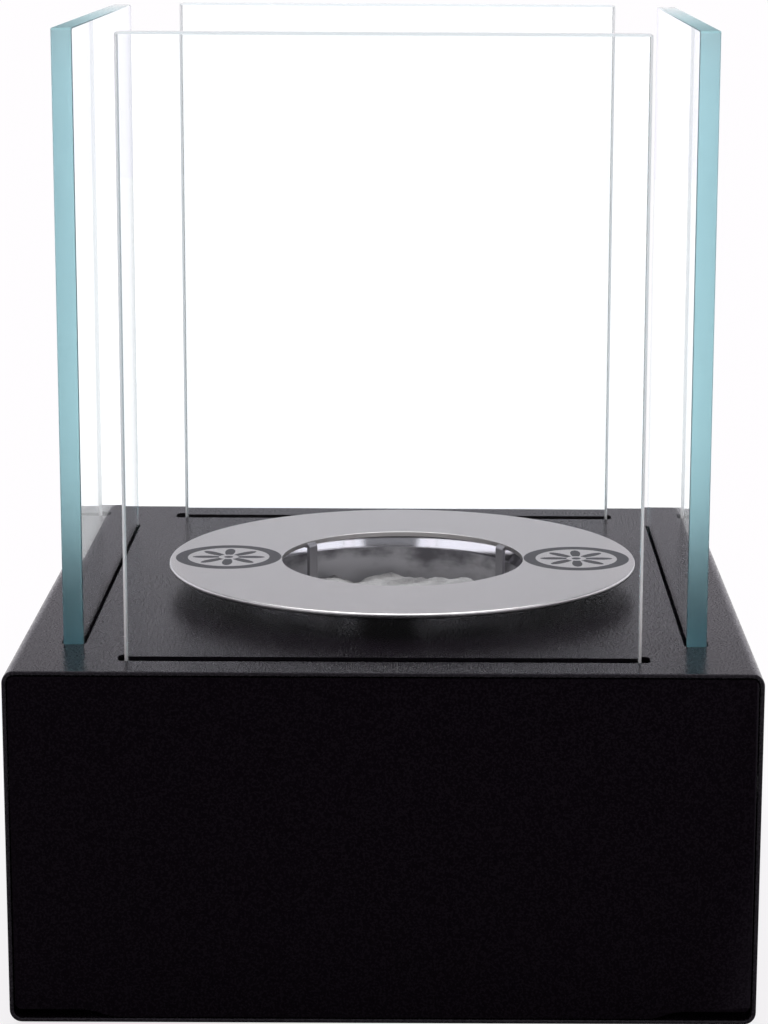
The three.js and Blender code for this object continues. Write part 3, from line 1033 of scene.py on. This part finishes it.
@dataclass
class Housing:
    """The black sheet steel box: sleeve, two end panels, the weld under the floor."""

    sheet: float = 1.0 * MM
    sleeve_radius: float = 3.0 * MM
    sleeve_segments: int = 8
    end_ease: float = 0.46 * MM
    end_sharp: float = 1.0  # radians
    cut_ease: float = 0.25 * MM
    slot_clearance: float = 0.5 * MM
    slot_radius: float = 1.5 * MM
    hole_clearance: float = 0.9 * MM
    hole_segments: int = 160
    screw_hole: float = 1.8 * MM
    screw_hole_segments: int = 24
    round_segments: int = 6
    fold_segments: int = 5
    panel_fold: float = 1.4 * MM
    panel_corner: float = 1.7 * MM
    panel_ease_angle: float = 50.0
    side_flange: float = 12.0 * MM
    roof_flange: float = 4.4 * MM
    toe_cut: float = 20.7 * MM
    toe_run: float = 5.0 * MM
    toe_rise: float = 1.9 * MM
    toe_round: float = 0.45  # how far the toe's corners are rounded, as a share of its run
    weld_width: float = 3.0 * MM
    weld_height: float = 0.35 * MM
    weld_round: float = 0.95  # how far its edges are rounded, as a share of its height
    weld_step: float = 1.5 * MM
    ripple: float = 0.25  # how much the weld's height changes, as a share
    ripple_counts: tuple[float, float] = (300.0, 500.0)  # per metre, across the weld and along it
    waver: float = 0.08  # how much its width changes, as a share
    waver_count: float = 260.0  # per metre
    waver_row: float = 3.0  # where the noise for it is read, away from the ripple's

    def cutter(self, name: str, outline: bmesh.types.BMesh, middle: Vector,
               bottom: float) -> bpy.types.Object:
        """A cutter that goes through one sheet with room to spare.

        Args:
            name: the cutter's name.
            outline: its flat outline, centred on the origin.
            middle: the point over or under which it stands.
            bottom: the height of its underside.

        Returns:
            The cutter.
        """
        thicken_face(outline, AXIS_Z * 3 * self.sheet)
        move(outline, Vector((middle.x, middle.y, bottom)))
        return object_of(name, outline)

    def slot_cutter(self, side: str, bottom: float) -> bpy.types.Object:
        """The cutter for one pane's slot in the top.

        Args:
            side: the side of the housing that the pane stands at.
            bottom: the height of the cutter's underside.

        Returns:
            The cutter.
        """
        pane_low, pane_high, _ = span(f"glass_{side}")
        low, high, middle = span(f"glass_channel_{side}")
        thin, long = (1, 0) if side in ("front", "back") else (0, 1)
        thick = pane_high[thin] - pane_low[thin] + 2 * self.slot_clearance
        outline = rounded_plate(high[long] - low[long], thick, self.slot_radius, self.round_segments)
        if thin == 0:
            turn(outline, QUARTER_TURN, "Z")
        return self.cutter(f"slot_cutter_{side}", outline, middle, bottom)

    def burner_cutter(self, bottom: float) -> bpy.types.Object:
        """The cutter for the round hole that the cup goes through.

        Args:
            bottom: the height of the cutter's underside.

        Returns:
            The cutter.
        """
        low, high, middle = span("burner_cup")
        radius = (high.x - low.x) / 2 + self.hole_clearance
        return self.cutter("burner_cutter", round_plate(radius, self.hole_segments), middle, bottom)

    def screw_cutters(self, bottom: float) -> list[bpy.types.Object]:
        """The cutters for the screw holes in the floor.

        Args:
            bottom: the height of their undersides.

        Returns:
            The cutters.
        """
        cutters = []
        for group in SCREWED:
            for corner in CORNERS:
                _, _, middle = span(f"{group}_screw_{corner}")
                outline = round_plate(self.screw_hole, self.screw_hole_segments)
                cutters.append(self.cutter(f"screw_cutter_{group}_{corner}", outline, middle, bottom))
        return cutters

    def sleeve(self) -> bpy.types.Object:
        """The rolled sleeve: a square tube with rounded long edges, slotted in its top.

        Returns:
            The sleeve. Its cut ends have material number 1.
        """
        low, high, middle = span("outer_sleeve")
        shape = rounded_plate(high.x - low.x, high.z - low.z, self.sleeve_radius, self.sleeve_segments)
        turn(shape, QUARTER_TURN, "X")
        bmesh.ops.delete(shape, geom=shape.faces[:], context="FACES_ONLY")
        pull(shape, bmesh.ops.extrude_edge_only(shape, edges=shape.edges[:]), AXIS_Y * (high.y - low.y))
        face_outwards(shape)
        outward = sum((face.normal.dot(face.calc_center_median()) for face in shape.faces), 0.0)
        if outward < 0:
            bmesh.ops.reverse_faces(shape, faces=shape.faces[:])
        move(shape, Vector((middle.x, low.y, middle.z)))
        piece = object_of("sleeve_sheet", shape)
        give_wall(piece, self.sheet)
        self.round_ends(piece, low.y, high.y)
        over_top = high.z - 2 * self.sheet
        slots = [self.slot_cutter(side, over_top) for side in SIDES]
        carve(piece, [*slots, self.burner_cutter(over_top), *self.screw_cutters(low.z - self.sheet)])
        ease_edges(piece, self.cut_ease)
        # The cut ends take material number 1, the coat with the painted highlight.
        for polygon in piece.data.polygons:
            at_end = min(polygon.center.y - low.y, high.y - polygon.center.y) < self.end_ease
            polygon.material_index = 1 if at_end and polygon.area < (high.x - low.x) * self.sheet else 0
        return piece

    def round_ends(self, piece: bpy.types.Object, front: float, back: float) -> None:
        """Rounds both long sides of the sleeve's cut ends, as the thick coat does.

        Args:
            piece: the sleeve.
            front: where its front end lies.
            back: where its back end lies.
        """
        shape = bmesh.new()
        shape.from_mesh(piece.data)
        ends = []
        for edge in shape.edges:
            depths = [vert.co.y for vert in edge.verts]
            at_end = max(depths) < front + TOUCHING or min(depths) > back - TOUCHING
            if at_end and edge.calc_face_angle(0.0) > self.end_sharp:
                ends.append(edge)
        round_edges(shape, ends, self.end_ease, segments=4)
        shape.to_mesh(piece.data)
        shape.free()

    def panel(self, node: str) -> bpy.types.Object:
        """One end panel: a face with flanges folded back, and a lower edge raised at both ends.

        Args:
            node: the CAD node that it stands for.

        Returns:
            The panel.
        """
        low, high, _ = span(node)
        half = (high.x - low.x) / 2
        toe = half - self.toe_cut
        run = self.toe_run / 2
        raised = low.z + self.toe_rise
        outline = [
            (-half, raised), (-toe - run, raised), (-toe + run, low.z),
            (toe - run, low.z), (toe + run, raised), (half, raised), (half, high.z), (-half, high.z),
        ]
        shape = bmesh.new()
        points = [shape.verts.new((x, 0.0, z)) for x, z in outline]
        face = shape.faces.new(points)
        if face.normal.y > 0:
            bmesh.ops.reverse_faces(shape, faces=[face])
        round_corners(shape, points[1:5], self.toe_run * self.toe_round, self.fold_segments)
        corners = [vert for vert in shape.verts if half - abs(vert.co.x) < TOUCHING]
        round_corners(shape, corners, self.panel_corner, self.round_segments)
        self.fold_flanges(shape, [
            (0, -half, self.side_flange), (0, half, self.side_flange),
            (2, high.z, self.roof_flange), (2, low.z, high.y - low.y),
        ])
        if node == "back_panel":
            turn(shape, math.pi, "Z")
        move(shape, AXIS_Y * (high.y if node == "back_panel" else low.y))
        piece = object_of(f"{node}_sheet", shape)
        give_wall(piece, self.sheet)
        ease_edges(piece, self.cut_ease, angle=self.panel_ease_angle)
        return piece

    def fold_flanges(self, shape: bmesh.types.BMesh, flanges: Sequence[tuple[int, float, float]]) -> None:
        """Folds the flanges back from the panel's straight edges.

        Args:
            shape: the panel's flat face, in the XZ plane.
            flanges: for each flange the axis and the level of its edge, and how deep it is.
        """
        folds = [(edges_at(shape, axis, level), depth) for axis, level, depth in flanges]
        creases = []
        for edges, depth in folds:
            pull(shape, bmesh.ops.extrude_edge_only(shape, edges=edges), AXIS_Y * depth)
            creases += edges
        face_outwards(shape)
        front = max(shape.faces, key=lambda face: face.calc_area())
        if front.normal.y > 0:
            bmesh.ops.reverse_faces(shape, faces=shape.faces[:])
        round_edges(shape, creases, self.panel_fold, self.fold_segments)

    def weld(self) -> bpy.types.Object:
        """The ground weld that closes the sleeve, along the middle of the floor's underside.

        Returns:
            The weld.
        """
        low, high, middle = span("outer_sleeve")
        length = high.y - low.y - 4 * self.sheet
        shape = block((self.weld_width, length, 2 * self.weld_height))
        round_edges(shape, edges_along(shape, 1, length), self.weld_height * self.weld_round, segments=5)
        cuts = int(length / self.weld_step)
        bmesh.ops.subdivide_edges(shape, edges=edges_along(shape, 1, length), cuts=cuts)
        across, along = self.ripple_counts
        for vert in shape.verts:
            ripple = noise.noise(Vector((vert.co.x * across, vert.co.y * along, 0.0)))
            if vert.co.z < 0:
                vert.co.z *= 1 + self.ripple * ripple
            waver = noise.noise(Vector((self.waver_row, vert.co.y * self.waver_count, 0.0)))
            vert.co.x *= 1 + self.waver * waver
        move(shape, Vector((middle.x, middle.y, low.z)))
        piece = object_of("floor_weld", shape)
        shade_smooth(piece, angle=60)
        return piece

    def build(self) -> None:
        """Builds and dresses the box."""
        dress(self.sleeve(), [COAT, CUT_EDGE_PAINTED_HIGHLIGHT], Slot.COAT, "housing", ["outer_sleeve"])
        for node in ("front_panel", "back_panel"):
            dress(self.panel(node), [COAT], Slot.COAT, "housing", [node])
        dress(self.weld(), [COAT], Slot.COAT, "housing")


# ---- Glass ----


@dataclass
class GlassWall:
    """One pane, with the channel and the seat strip that hold it."""

    side: str
    edge: ClearGlass
    arris: float
    corner: float = 0.7 * MM
    corner_segments: int = 5
    flat: float = 0.99  # a face whose normal lies this near to the pane's is one of its two large ones

    def pane(self) -> bpy.types.Object:
        """The pane: a plate with rounded corners and a ground chamfer along every edge.

        Returns:
            The pane. All but its two large faces have material number 1.
        """
        low, high, middle = span(f"glass_{self.side}")
        size = high - low
        thin = 1 if self.side in ("front", "back") else 0
        shape = block(size)
        round_edges(shape, edges_along(shape, thin, size[thin]), self.corner, self.corner_segments)
        across = set(edges_along(shape, thin, size[thin]))
        rims = [edge for edge in shape.edges if edge not in across]
        round_edges(shape, rims, self.arris, segments=1)
        for face in shape.faces:
            face.material_index = 0 if abs(face.normal[thin]) > self.flat else 1
        move(shape, middle)
        return object_of(f"glass_pane_{self.side}", shape)

    def build(self, frame: dict) -> None:
        """Builds and dresses the pane, and gives its holders their finishes.

        Args:
            frame: the loaded frame.
        """
        finishes = [GLASS_FACE, self.edge]
        dress(self.pane(), finishes, Slot.GLASS, f"{self.side}_pane", [f"glass_{self.side}"])
        dress_node(frame, f"glass_channel_{self.side}", COAT)
        dress_node(frame, f"seat_strip_{self.side}", SILICONE)


# ---- Burner ----


@dataclass
class Burner:
    """The steel cup with its bright collar, and the ceramic wool in it."""

    wall: float = 0.8 * MM
    foot_round: float = 2.0 * MM
    flare: float = 0.9 * MM  # how much wider the cup is at its mouth
    lean: float = 0.45 * MM  # and how much of that comes above the neck
    collar: float = 4.0 * MM
    smoke_line: float = 0.1 * MM  # how far under the collar the smoked inside begins
    throat: float = 0.9 * MM  # how far under the collar the flare begins
    neck_round: float = 0.3 * MM
    inner_neck_round: float = 0.6 * MM
    rim_drop: float = 0.3 * MM
    rim_in: float = 0.35 * MM
    rim_rounds: tuple[float, float, float] = (0.25 * MM, 0.2 * MM, 0.15 * MM)  # from outside to inside
    steps: int = 160
    wool_steps: int = 192
    wool_rings: int = 70
    wool_taper: float = 1.0 * MM
    wool_foot: float = 2.0 * MM
    wool_shoulder: float = 1.5 * MM
    wool_round: float = 0.8 * MM
    wool_side_round: float = 0.5 * MM
    wool_top: float = 2.5 * MM  # how far down the tufts reach
    fluff: float = 2.6 * MM  # how far the middle stands up
    fluff_power: int = 6  # how suddenly that falls away to the rim
    lump: float = 4.4 * MM
    lump_level: float = 0.5  # the middle of the lumps and how strongly they show
    lump_gain: float = 0.6
    lumps: Lumps = Lumps(width=13 * MM, level=0.013, smoothness=0.9, finer=2.1, layers=3)
    tuft: float = 0.7 * MM
    tufts: Lumps = Lumps(width=2.6 * MM, level=0.5, smoothness=0.8, finer=2.0, layers=4)

    def cup(self) -> bpy.types.Object:
        """The cup: an open can with a rounded foot and a flared collar.

        Returns:
            The cup. Its inside under the collar has material number 1.
        """
        low, high, _ = span("burner_cup")
        mouth = (high.x - low.x) / 2
        outer = mouth - self.flare
        neck = high.z - self.collar
        shape = revolve([
            Corner(0.0, low.z),
            Corner(outer, low.z, self.foot_round),
            Corner(outer, neck - self.throat, self.neck_round),
            Corner(mouth - self.lean, neck, self.neck_round),
            Corner(mouth, high.z - self.rim_drop, self.rim_rounds[0]),
            Corner(mouth - self.rim_in, high.z, self.rim_rounds[1]),
            Corner(mouth - self.wall, high.z, self.rim_rounds[2]),
            Corner(outer - self.wall, neck, self.inner_neck_round),
            Corner(outer - self.wall, low.z + self.wall, self.foot_round),
            Corner(0.0, low.z + self.wall),
        ], self.steps)
        for face in shape.faces:
            middle = face.calc_center_median()
            faces_in = face.normal.dot(Vector((middle.x, middle.y, 0.0))) < -TOUCHING
            face.material_index = 1 if faces_in and middle.z < neck - self.smoke_line else 0
        piece = object_of("burner_cup_steel", shape)
        shade_smooth(piece, angle=50)
        return piece

    def wool(self) -> bpy.types.Object:
        """The wool: a plug with a lumpy, tufted top.

        Returns:
            The wool.
        """
        low, high, _ = span("ceramic_wool")
        radius = (high.x - low.x) / 2
        shape = revolve([
            Corner(0.0, low.z),
            Corner(radius - self.wool_taper, low.z, self.wool_round),
            Corner(radius, low.z + self.wool_foot),
            Corner(radius, high.z - self.wool_shoulder, self.wool_side_round),
            Corner(radius - self.wool_shoulder, high.z, self.wool_round),
            Corner(0.0, high.z),
        ], self.wool_steps)
        spokes = [edge for edge in shape.edges if self.is_top_spoke(edge, high.z, radius)]
        bmesh.ops.subdivide_edges(shape, edges=spokes, cuts=self.wool_rings, use_grid_fill=False)
        for vert in shape.verts:
            if vert.co.z > high.z - self.wool_top:
                vert.co.z -= self.sink(vert.co, radius - self.wool_taper)
        piece = object_of("wool_plug", shape)
        shade_smooth(piece, angle=80)
        return piece

    @staticmethod
    def is_top_spoke(edge: bmesh.types.BMEdge, top: float, radius: float) -> bool:
        """Whether an edge runs from the middle of the wool's top to its rim.

        Args:
            edge: the edge.
            top: the height of the wool's top.
            radius: the wool's radius.

        Returns:
            True if it does.
        """
        heights = [vert.co.z for vert in edge.verts]
        reach = [math.hypot(vert.co.x, vert.co.y) for vert in edge.verts]
        return min(heights) > top - TOUCHING and max(reach) - min(reach) > radius / 2

    def sink(self, place: Vector, reach: float) -> float:
        """How far the wool's top lies under the solid's flat top.

        Args:
            place: where on the top.
            reach: how far out the middle's rise ends.

        Returns:
            The depth, less than zero where the wool stands up.
        """
        rim = min(1.0, math.hypot(place.x, place.y) / reach)
        raised = self.fluff * (1 - rim ** self.fluff_power)
        hollow = min(1.0, max(0.0, self.lump_level - self.lump_gain * self.lumps.at(place)))
        return self.lump * hollow + self.tuft * min(1.0, abs(self.tufts.at(place))) - raised

    def build(self) -> None:
        """Builds and dresses the cup and the wool."""
        _, wool_high, _ = span("ceramic_wool")
        _, cup_high, _ = span("burner_cup")
        inside = SootAndShadeSteel("smoked_cup_steel", bare=wool_high.z, sooty=cup_high.z - self.collar)
        dress(self.cup(), [CUP_STEEL, inside], Slot.POLISHED, "burner", ["burner_cup"])
        dress(self.wool(), [WOOL], Slot.WOOL, "burner", ["ceramic_wool"])


@dataclass
class BurnerRing:
    """The loose flat ring that lies on the cup, with four legs folded down inside its opening."""

    opening: float = 32.0 * MM
    thickness: float = 1.3 * MM
    edge: float = 0.5 * MM
    lip: float = 0.15 * MM  # how far the opening's edges are rounded
    leg_width: float = 3.3 * MM
    leg_thickness: float = 1.0 * MM
    leg_drop: float = 0.35 * MM  # how far a leg's root lies under the ring's top
    leg_root: float = 1.5 * MM  # and how far it reaches into the ring
    leg_segments: int = 6
    leg_ease: float = 0.12 * MM
    leg_angles: tuple[float, ...] = (33.0, 142.0, 213.0, 322.0)
    ornament_radius: float = 46.2 * MM
    ornament_angles: tuple[float, ...] = (0.0, 180.0)
    steps: int = 200
    downward: float = 0.9  # a face whose normal points down this much is part of the underside

    def disc(self) -> bpy.types.Object:
        """The ring itself, with eased edges.

        Returns:
            The ring. Its underside has material number 1.
        """
        low, high, middle = span("burner_ring")
        outer = (high.x - low.x) / 2
        under = high.z - self.thickness
        shape = revolve([
            Corner(self.opening, under, self.lip), Corner(outer, under, self.edge),
            Corner(outer, high.z, self.edge), Corner(self.opening, high.z, self.lip),
        ], self.steps)
        # The underside takes material number 1, the painted shade.
        for face in shape.faces:
            face.material_index = 1 if face.normal.z < -self.downward else 0
        move(shape, Vector((middle.x, middle.y, 0.0)))
        piece = object_of("ring_disc", shape)
        smooth_faces(piece)
        weigh_normals(piece)
        return piece

    def leg(self, number: int, angle: float) -> bpy.types.Object:
        """One leg: a strip that bends down out of the ring's inner edge.

        Args:
            number: the leg's number, for its name.
            angle: where it stands round the opening, in degrees from +X.

        Returns:
            The leg.
        """
        low, high, middle = span("burner_ring")
        top = high.z - self.leg_drop
        half = self.leg_width / 2
        outside = math.sqrt(self.opening ** 2 - half ** 2)
        inside = outside - self.leg_thickness
        root = outside + self.leg_root
        outline = [
            (inside, low.z), (outside, low.z), (outside, top - self.thickness),
            (root, top - self.thickness), (root, top), (inside, top),
        ]
        shape = bmesh.new()
        points = [shape.verts.new((x, -half, z)) for x, z in outline]
        shape.faces.new(points)
        round_corners(shape, points[-1:], self.thickness, self.leg_segments)
        thicken_face(shape, AXIS_Y * self.leg_width)
        turn(shape, math.radians(angle), "Z")
        move(shape, Vector((middle.x, middle.y, 0.0)))
        piece = object_of(f"ring_leg_{number}", shape)
        ease_edges(piece, self.leg_ease)
        return piece

    def finish(self) -> EtchedSteel:
        """The ring's steel, with an etched ornament at each side.

        Returns:
            The finish.
        """
        _, _, middle = span("burner_ring")
        turns = [math.radians(angle) for angle in self.ornament_angles]
        reach = self.ornament_radius
        centres = tuple((middle.x + reach * math.cos(t), middle.y + reach * math.sin(t)) for t in turns)
        return EtchedSteel("etched_ring_steel", centres=centres)

    def build(self) -> None:
        """Builds and dresses the ring and its legs."""
        dress(self.disc(), [self.finish(), RING_UNDERSIDE_PAINTED_SHADE], Slot.BRUSHED, "ring", ["burner_ring"])
        for number, angle in enumerate(self.leg_angles, 1):
            dress(self.leg(number, angle), [LEG_STEEL], Slot.BRUSHED, "ring")


# ---- Underside and inside ----


@dataclass
class Fittings:
    """Feet, screws and nuts, and the cradle and the collar inside the box."""

    foot_edge: float = 0.5 * MM
    foot_top_edge: float = 0.1 * MM
    foot_dish: float = 0.4 * MM
    dish_reach: tuple[float, float] = (0.45, 0.6)  # where its flat and its slope end, as shares
    foot_steps: int = 64
    head_round: float = 0.8 * MM
    head_edge: float = 0.1 * MM
    slot_width: float = 0.8 * MM
    slot_depth: float = 0.6 * MM
    shank: float = 1.5 * MM
    point: float = 0.5 * MM
    point_width: float = 0.6  # as a share of the shank's
    screw_steps: int = 48
    screw_ease: float = 0.06 * MM
    turn_count: float = 90.0  # per metre
    feet: tuple[str, ...] = ("front_left", "front_right", "back_left", "back_right")

    def foot(self, name: str) -> bpy.types.Object:
        """A rubber foot: a low disc with an eased edge and a shallow dish in its tread.

        Args:
            name: the corner of the housing that it stands at.

        Returns:
            The foot.
        """
        low, high, middle = span(f"foot_{name}")
        radius = (high.x - low.x) / 2
        dish = low.z + self.foot_dish
        flat, slope = (radius * share for share in self.dish_reach)
        shape = revolve([
            Corner(0.0, dish), Corner(flat, dish, self.foot_edge), Corner(slope, low.z, self.foot_edge),
            Corner(radius, low.z, self.foot_edge), Corner(radius, high.z, self.foot_top_edge),
            Corner(0.0, high.z),
        ], self.foot_steps)
        move(shape, Vector((middle.x, middle.y, 0.0)))
        piece = object_of(f"rubber_foot_{name}", shape)
        shade_smooth(piece, angle=60)
        return piece

    def screw(self, node: str) -> bpy.types.Object:
        """A slotted pan-head screw, put in from below.

        Args:
            node: the CAD node that it stands for.

        Returns:
            The screw.
        """
        low, high, middle = span(node)
        floor, _, _ = span("outer_sleeve")
        head = (high.x - low.x) / 2
        shape = revolve([
            Corner(0.0, low.z), Corner(head, low.z, self.head_round), Corner(head, floor.z, self.head_edge),
            Corner(self.shank, floor.z), Corner(self.shank, high.z - self.point),
            Corner(self.shank * self.point_width, high.z), Corner(0.0, high.z),
        ], self.screw_steps)
        move(shape, Vector((middle.x, middle.y, 0.0)))
        piece = object_of(f"{node}_turned", shape)
        knife = block((self.slot_width, 3 * head, 2 * self.slot_depth))
        turn(knife, self.slot_angle(middle), "Z")
        move(knife, Vector((middle.x, middle.y, low.z)))
        carve(piece, [object_of("screw_slot_cutter", knife)])
        ease_edges(piece, self.screw_ease)
        return piece

    def slot_angle(self, place: Vector) -> float:
        """How far a screw is turned, up to half a turn, which differs from screw to screw."""
        return math.pi * (1 + noise.noise(place * self.turn_count)) / 2

    def build(self, frame: dict) -> None:
        """Builds and dresses the feet and screws, and gives the hidden CAD nodes their finishes.

        Args:
            frame: the loaded frame.
        """
        for name in self.feet:
            dress(self.foot(name), [RUBBER], Slot.RUBBER, "housing", [f"foot_{name}"])
        for group in SCREWED:
            for corner in CORNERS:
                node = f"{group}_screw_{corner}"
                dress(self.screw(node), [ZINC], Slot.ZINC, "housing", [node])
                dress_node(frame, f"{group}_nut_{corner}", ZINC)
        dress_node(frame, "burner_cradle", ZINC)
        dress_node(frame, "cup_guide_collar", COAT)


# ---- Studio ----


@dataclass(frozen=True)
class FloorPaint(Finish):
    """Pale floor. It keeps the object's shadow close by, and is plain white further out."""

    colour: Colour = (0.86, 0.86, 0.86)
    keep: float = 0.22  # how much of its real light and shade shows under the object and beside it
    near: float = 0.14  # how far out that begins to give way to white
    far: float = 0.40  # and where it has
    mirrored: Step = Step(-0.1, 0.25, 0.03, 1.0)  # what gloss sees of it, from front to back
    bright: float = 1.2  # and how bright that is at the back

    def whole(self, graph: Graph) -> dict[str, Signal]:
        """The floor as the camera sees it, as gloss sees it, and as it lights the object.

        Args:
            graph: the material's graph.

        Returns:
            The surface.
        """
        place = graph.coordinates()
        out = place.out("X").hypotenuse(place.out("Y"))
        sight = Sight.of(graph)
        lit = graph.add("ShaderNodeBsdfDiffuse", {}, {"Color": self.colour}).out()
        white = graph.glow(WHITE, 1.0 + sight.through * (THROUGH_GLASS - 1.0))
        shown = graph.mix(out.rise(self.near, self.far, 1 - self.keep, 1.0), lit, white)
        plain = graph.mix(sight.camera.larger(sight.through), lit, shown)
        level = place.out("Y").rise(*self.mirrored)
        mirrored = graph.glow(graph.blend(level, BLACK, WHITE), self.bright)
        return {"Surface": graph.mix(sight.gloss, plain, mirrored)}


@dataclass
class Studio:
    """The floor, the lamp, the surroundings and the photograph's camera."""

    floor_size: float = 4.0
    room_light: float = 0.55
    gloss_tint: Colour = (0.955, 0.92, 1.0)
    # What gloss sees, by how far a direction points back, up or aside:
    back: Step = Step(-0.1, 0.35)
    back_low: Step = Step(0.08, 0.19, 1.2, 1.0)
    back_high: Step = Step(0.20, 0.38, 1.0, 0.18)
    aside: Step = Step(0.32, 0.44)
    aside_low: Step = Step(-0.02, 0.08)
    aside_high: Step = Step(0.4, 0.6, 1.4, 0.2)
    front: Step = Step(0.05, 0.3, 0.02, 0.28)
    top: Step = Step(0.62, 0.82, 0.0, 1.3)
    top_lean: float = 0.25  # how far the bright top leans to the front
    lamp_place: tuple[float, float, float] = (0.0, 0.25, 1.1)
    lamp_aim: tuple[float, float, float] = (0.0, 0.0, 0.05)
    lamp_size: float = 0.9
    lamp_power: float = 9.0
    image: tuple[int, int] = (768, 1024)
    eye: tuple[float, float, float] = (11.736 * MM, -763.480 * MM, 271.260 * MM)
    pitch: float = 0.2040
    yaw: float = 0.0021
    roll: float = 0.0051
    focal_pixels: float = 2938.83
    principal: tuple[float, float] = (440.0, 492.4)
    sensor: float = 36.0
    clip_start: float = 0.01

    def floor(self) -> None:
        """A wide pale floor under the object."""
        shape = bmesh.new()
        bmesh.ops.create_grid(shape, x_segments=1, y_segments=1, size=self.floor_size / 2)
        floor = object_of("studio_floor", shape)
        floor.data.materials.append(FloorPaint("floor_paint").material())

    def gloss(self, direction: Placed) -> Signal:
        """How bright gloss sees the surroundings: a bright back, sides and top, and a dark front.

        Args:
            direction: the direction of the reflected ray, split into X, Y and Z.

        Returns:
            The brightness.
        """
        height = direction.out("Z")
        depth = direction.out("Y")
        back = depth.rise(*self.back) * height.rise(*self.back_low) * height.rise(*self.back_high)
        aside = abs(direction.out("X")).rise(*self.aside)
        side = aside * height.rise(*self.aside_low) * height.rise(*self.aside_high)
        top = (height - depth * self.top_lean).rise(*self.top)
        return back.larger(side).larger(height.rise(*self.front)).larger(top)

    def surroundings(self) -> None:
        """White for the camera and through glass, an even light, and a studio for gloss to mirror."""
        world = bpy.data.worlds.new("studio")
        bpy.context.scene.world = world
        world.use_nodes = True
        graph = Graph(world.node_tree)
        towards = graph.add("ShaderNodeTexCoord", {}, {}).out("Generated")
        gloss = self.gloss(graph.add("ShaderNodeSeparateXYZ", {}, {"Vector": towards}))
        sight = Sight.of(graph)
        level = self.room_light + sight.gloss * (gloss - self.room_light)
        level = level + sight.camera * (1.0 - level)
        level = level + sight.through * (THROUGH_GLASS - level)
        colour = graph.blend(sight.gloss, WHITE, self.gloss_tint)
        light = graph.add("ShaderNodeBackground", {}, {"Color": colour, "Strength": level})
        graph.add("ShaderNodeOutputWorld", {}, {"Surface": light.out()})

    def softbox(self) -> None:
        """A square soft lamp overhead."""
        light = bpy.data.lights.new("overhead_softbox", "AREA")
        light.shape = "SQUARE"
        light.size = self.lamp_size
        light.energy = self.lamp_power
        lamp = bpy.data.objects.new("overhead_softbox", light)
        lamp.location = self.lamp_place
        beam = Vector(self.lamp_aim) - Vector(self.lamp_place)
        lamp.rotation_euler = beam.to_track_quat("-Z", "Y").to_euler()
        bpy.context.scene.collection.objects.link(lamp)

    def camera(self) -> None:
        """The photograph's camera."""
        cos_pitch, sin_pitch = math.cos(self.pitch), math.sin(self.pitch)
        forward = Vector((math.sin(self.yaw) * cos_pitch, math.cos(self.yaw) * cos_pitch, -sin_pitch))
        level = Vector((math.cos(self.yaw), -math.sin(self.yaw), 0.0))
        upright = level.cross(forward)
        right = level * math.cos(self.roll) + upright * math.sin(self.roll)
        up = upright * math.cos(self.roll) - level * math.sin(self.roll)
        data = bpy.data.cameras.new("photo_camera")
        width, height = self.image
        data.sensor_width = self.sensor
        data.lens = self.focal_pixels * self.sensor / height
        data.shift_x = (width / 2 - self.principal[0]) / height
        data.shift_y = (self.principal[1] - height / 2) / height
        data.clip_start = self.clip_start
        camera = bpy.data.objects.new("photo_camera", data)
        axes = Matrix((right, up, -forward)).transposed().to_4x4()
        camera.matrix_world = Matrix.Translation(Vector(self.eye)) @ axes
        bpy.context.scene.collection.objects.link(camera)
        bpy.context.scene.camera = camera

    def build(self) -> None:
        """Sets up the whole studio."""
        self.floor()
        self.surroundings()
        self.softbox()
        self.camera()
        bpy.context.scene.view_settings.view_transform = "Standard"


def main() -> None:
    """Loads the frame, builds every piece round it and sets up the studio."""
    logging.basicConfig(level=logging.INFO, format="%(message)s")
    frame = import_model()
    Studio().build()
    Housing().build()
    for side in ("left", "right"):
        GlassWall(side, GROUND_EDGE, arris=0.2 * MM).build(frame)
    for side in ("front", "back"):
        GlassWall(side, SEAMED_EDGE, arris=0.6 * MM).build(frame)
    Burner().build()
    BurnerRing().build()
    Fittings().build(frame)


if __name__ == "__main__":
    main()
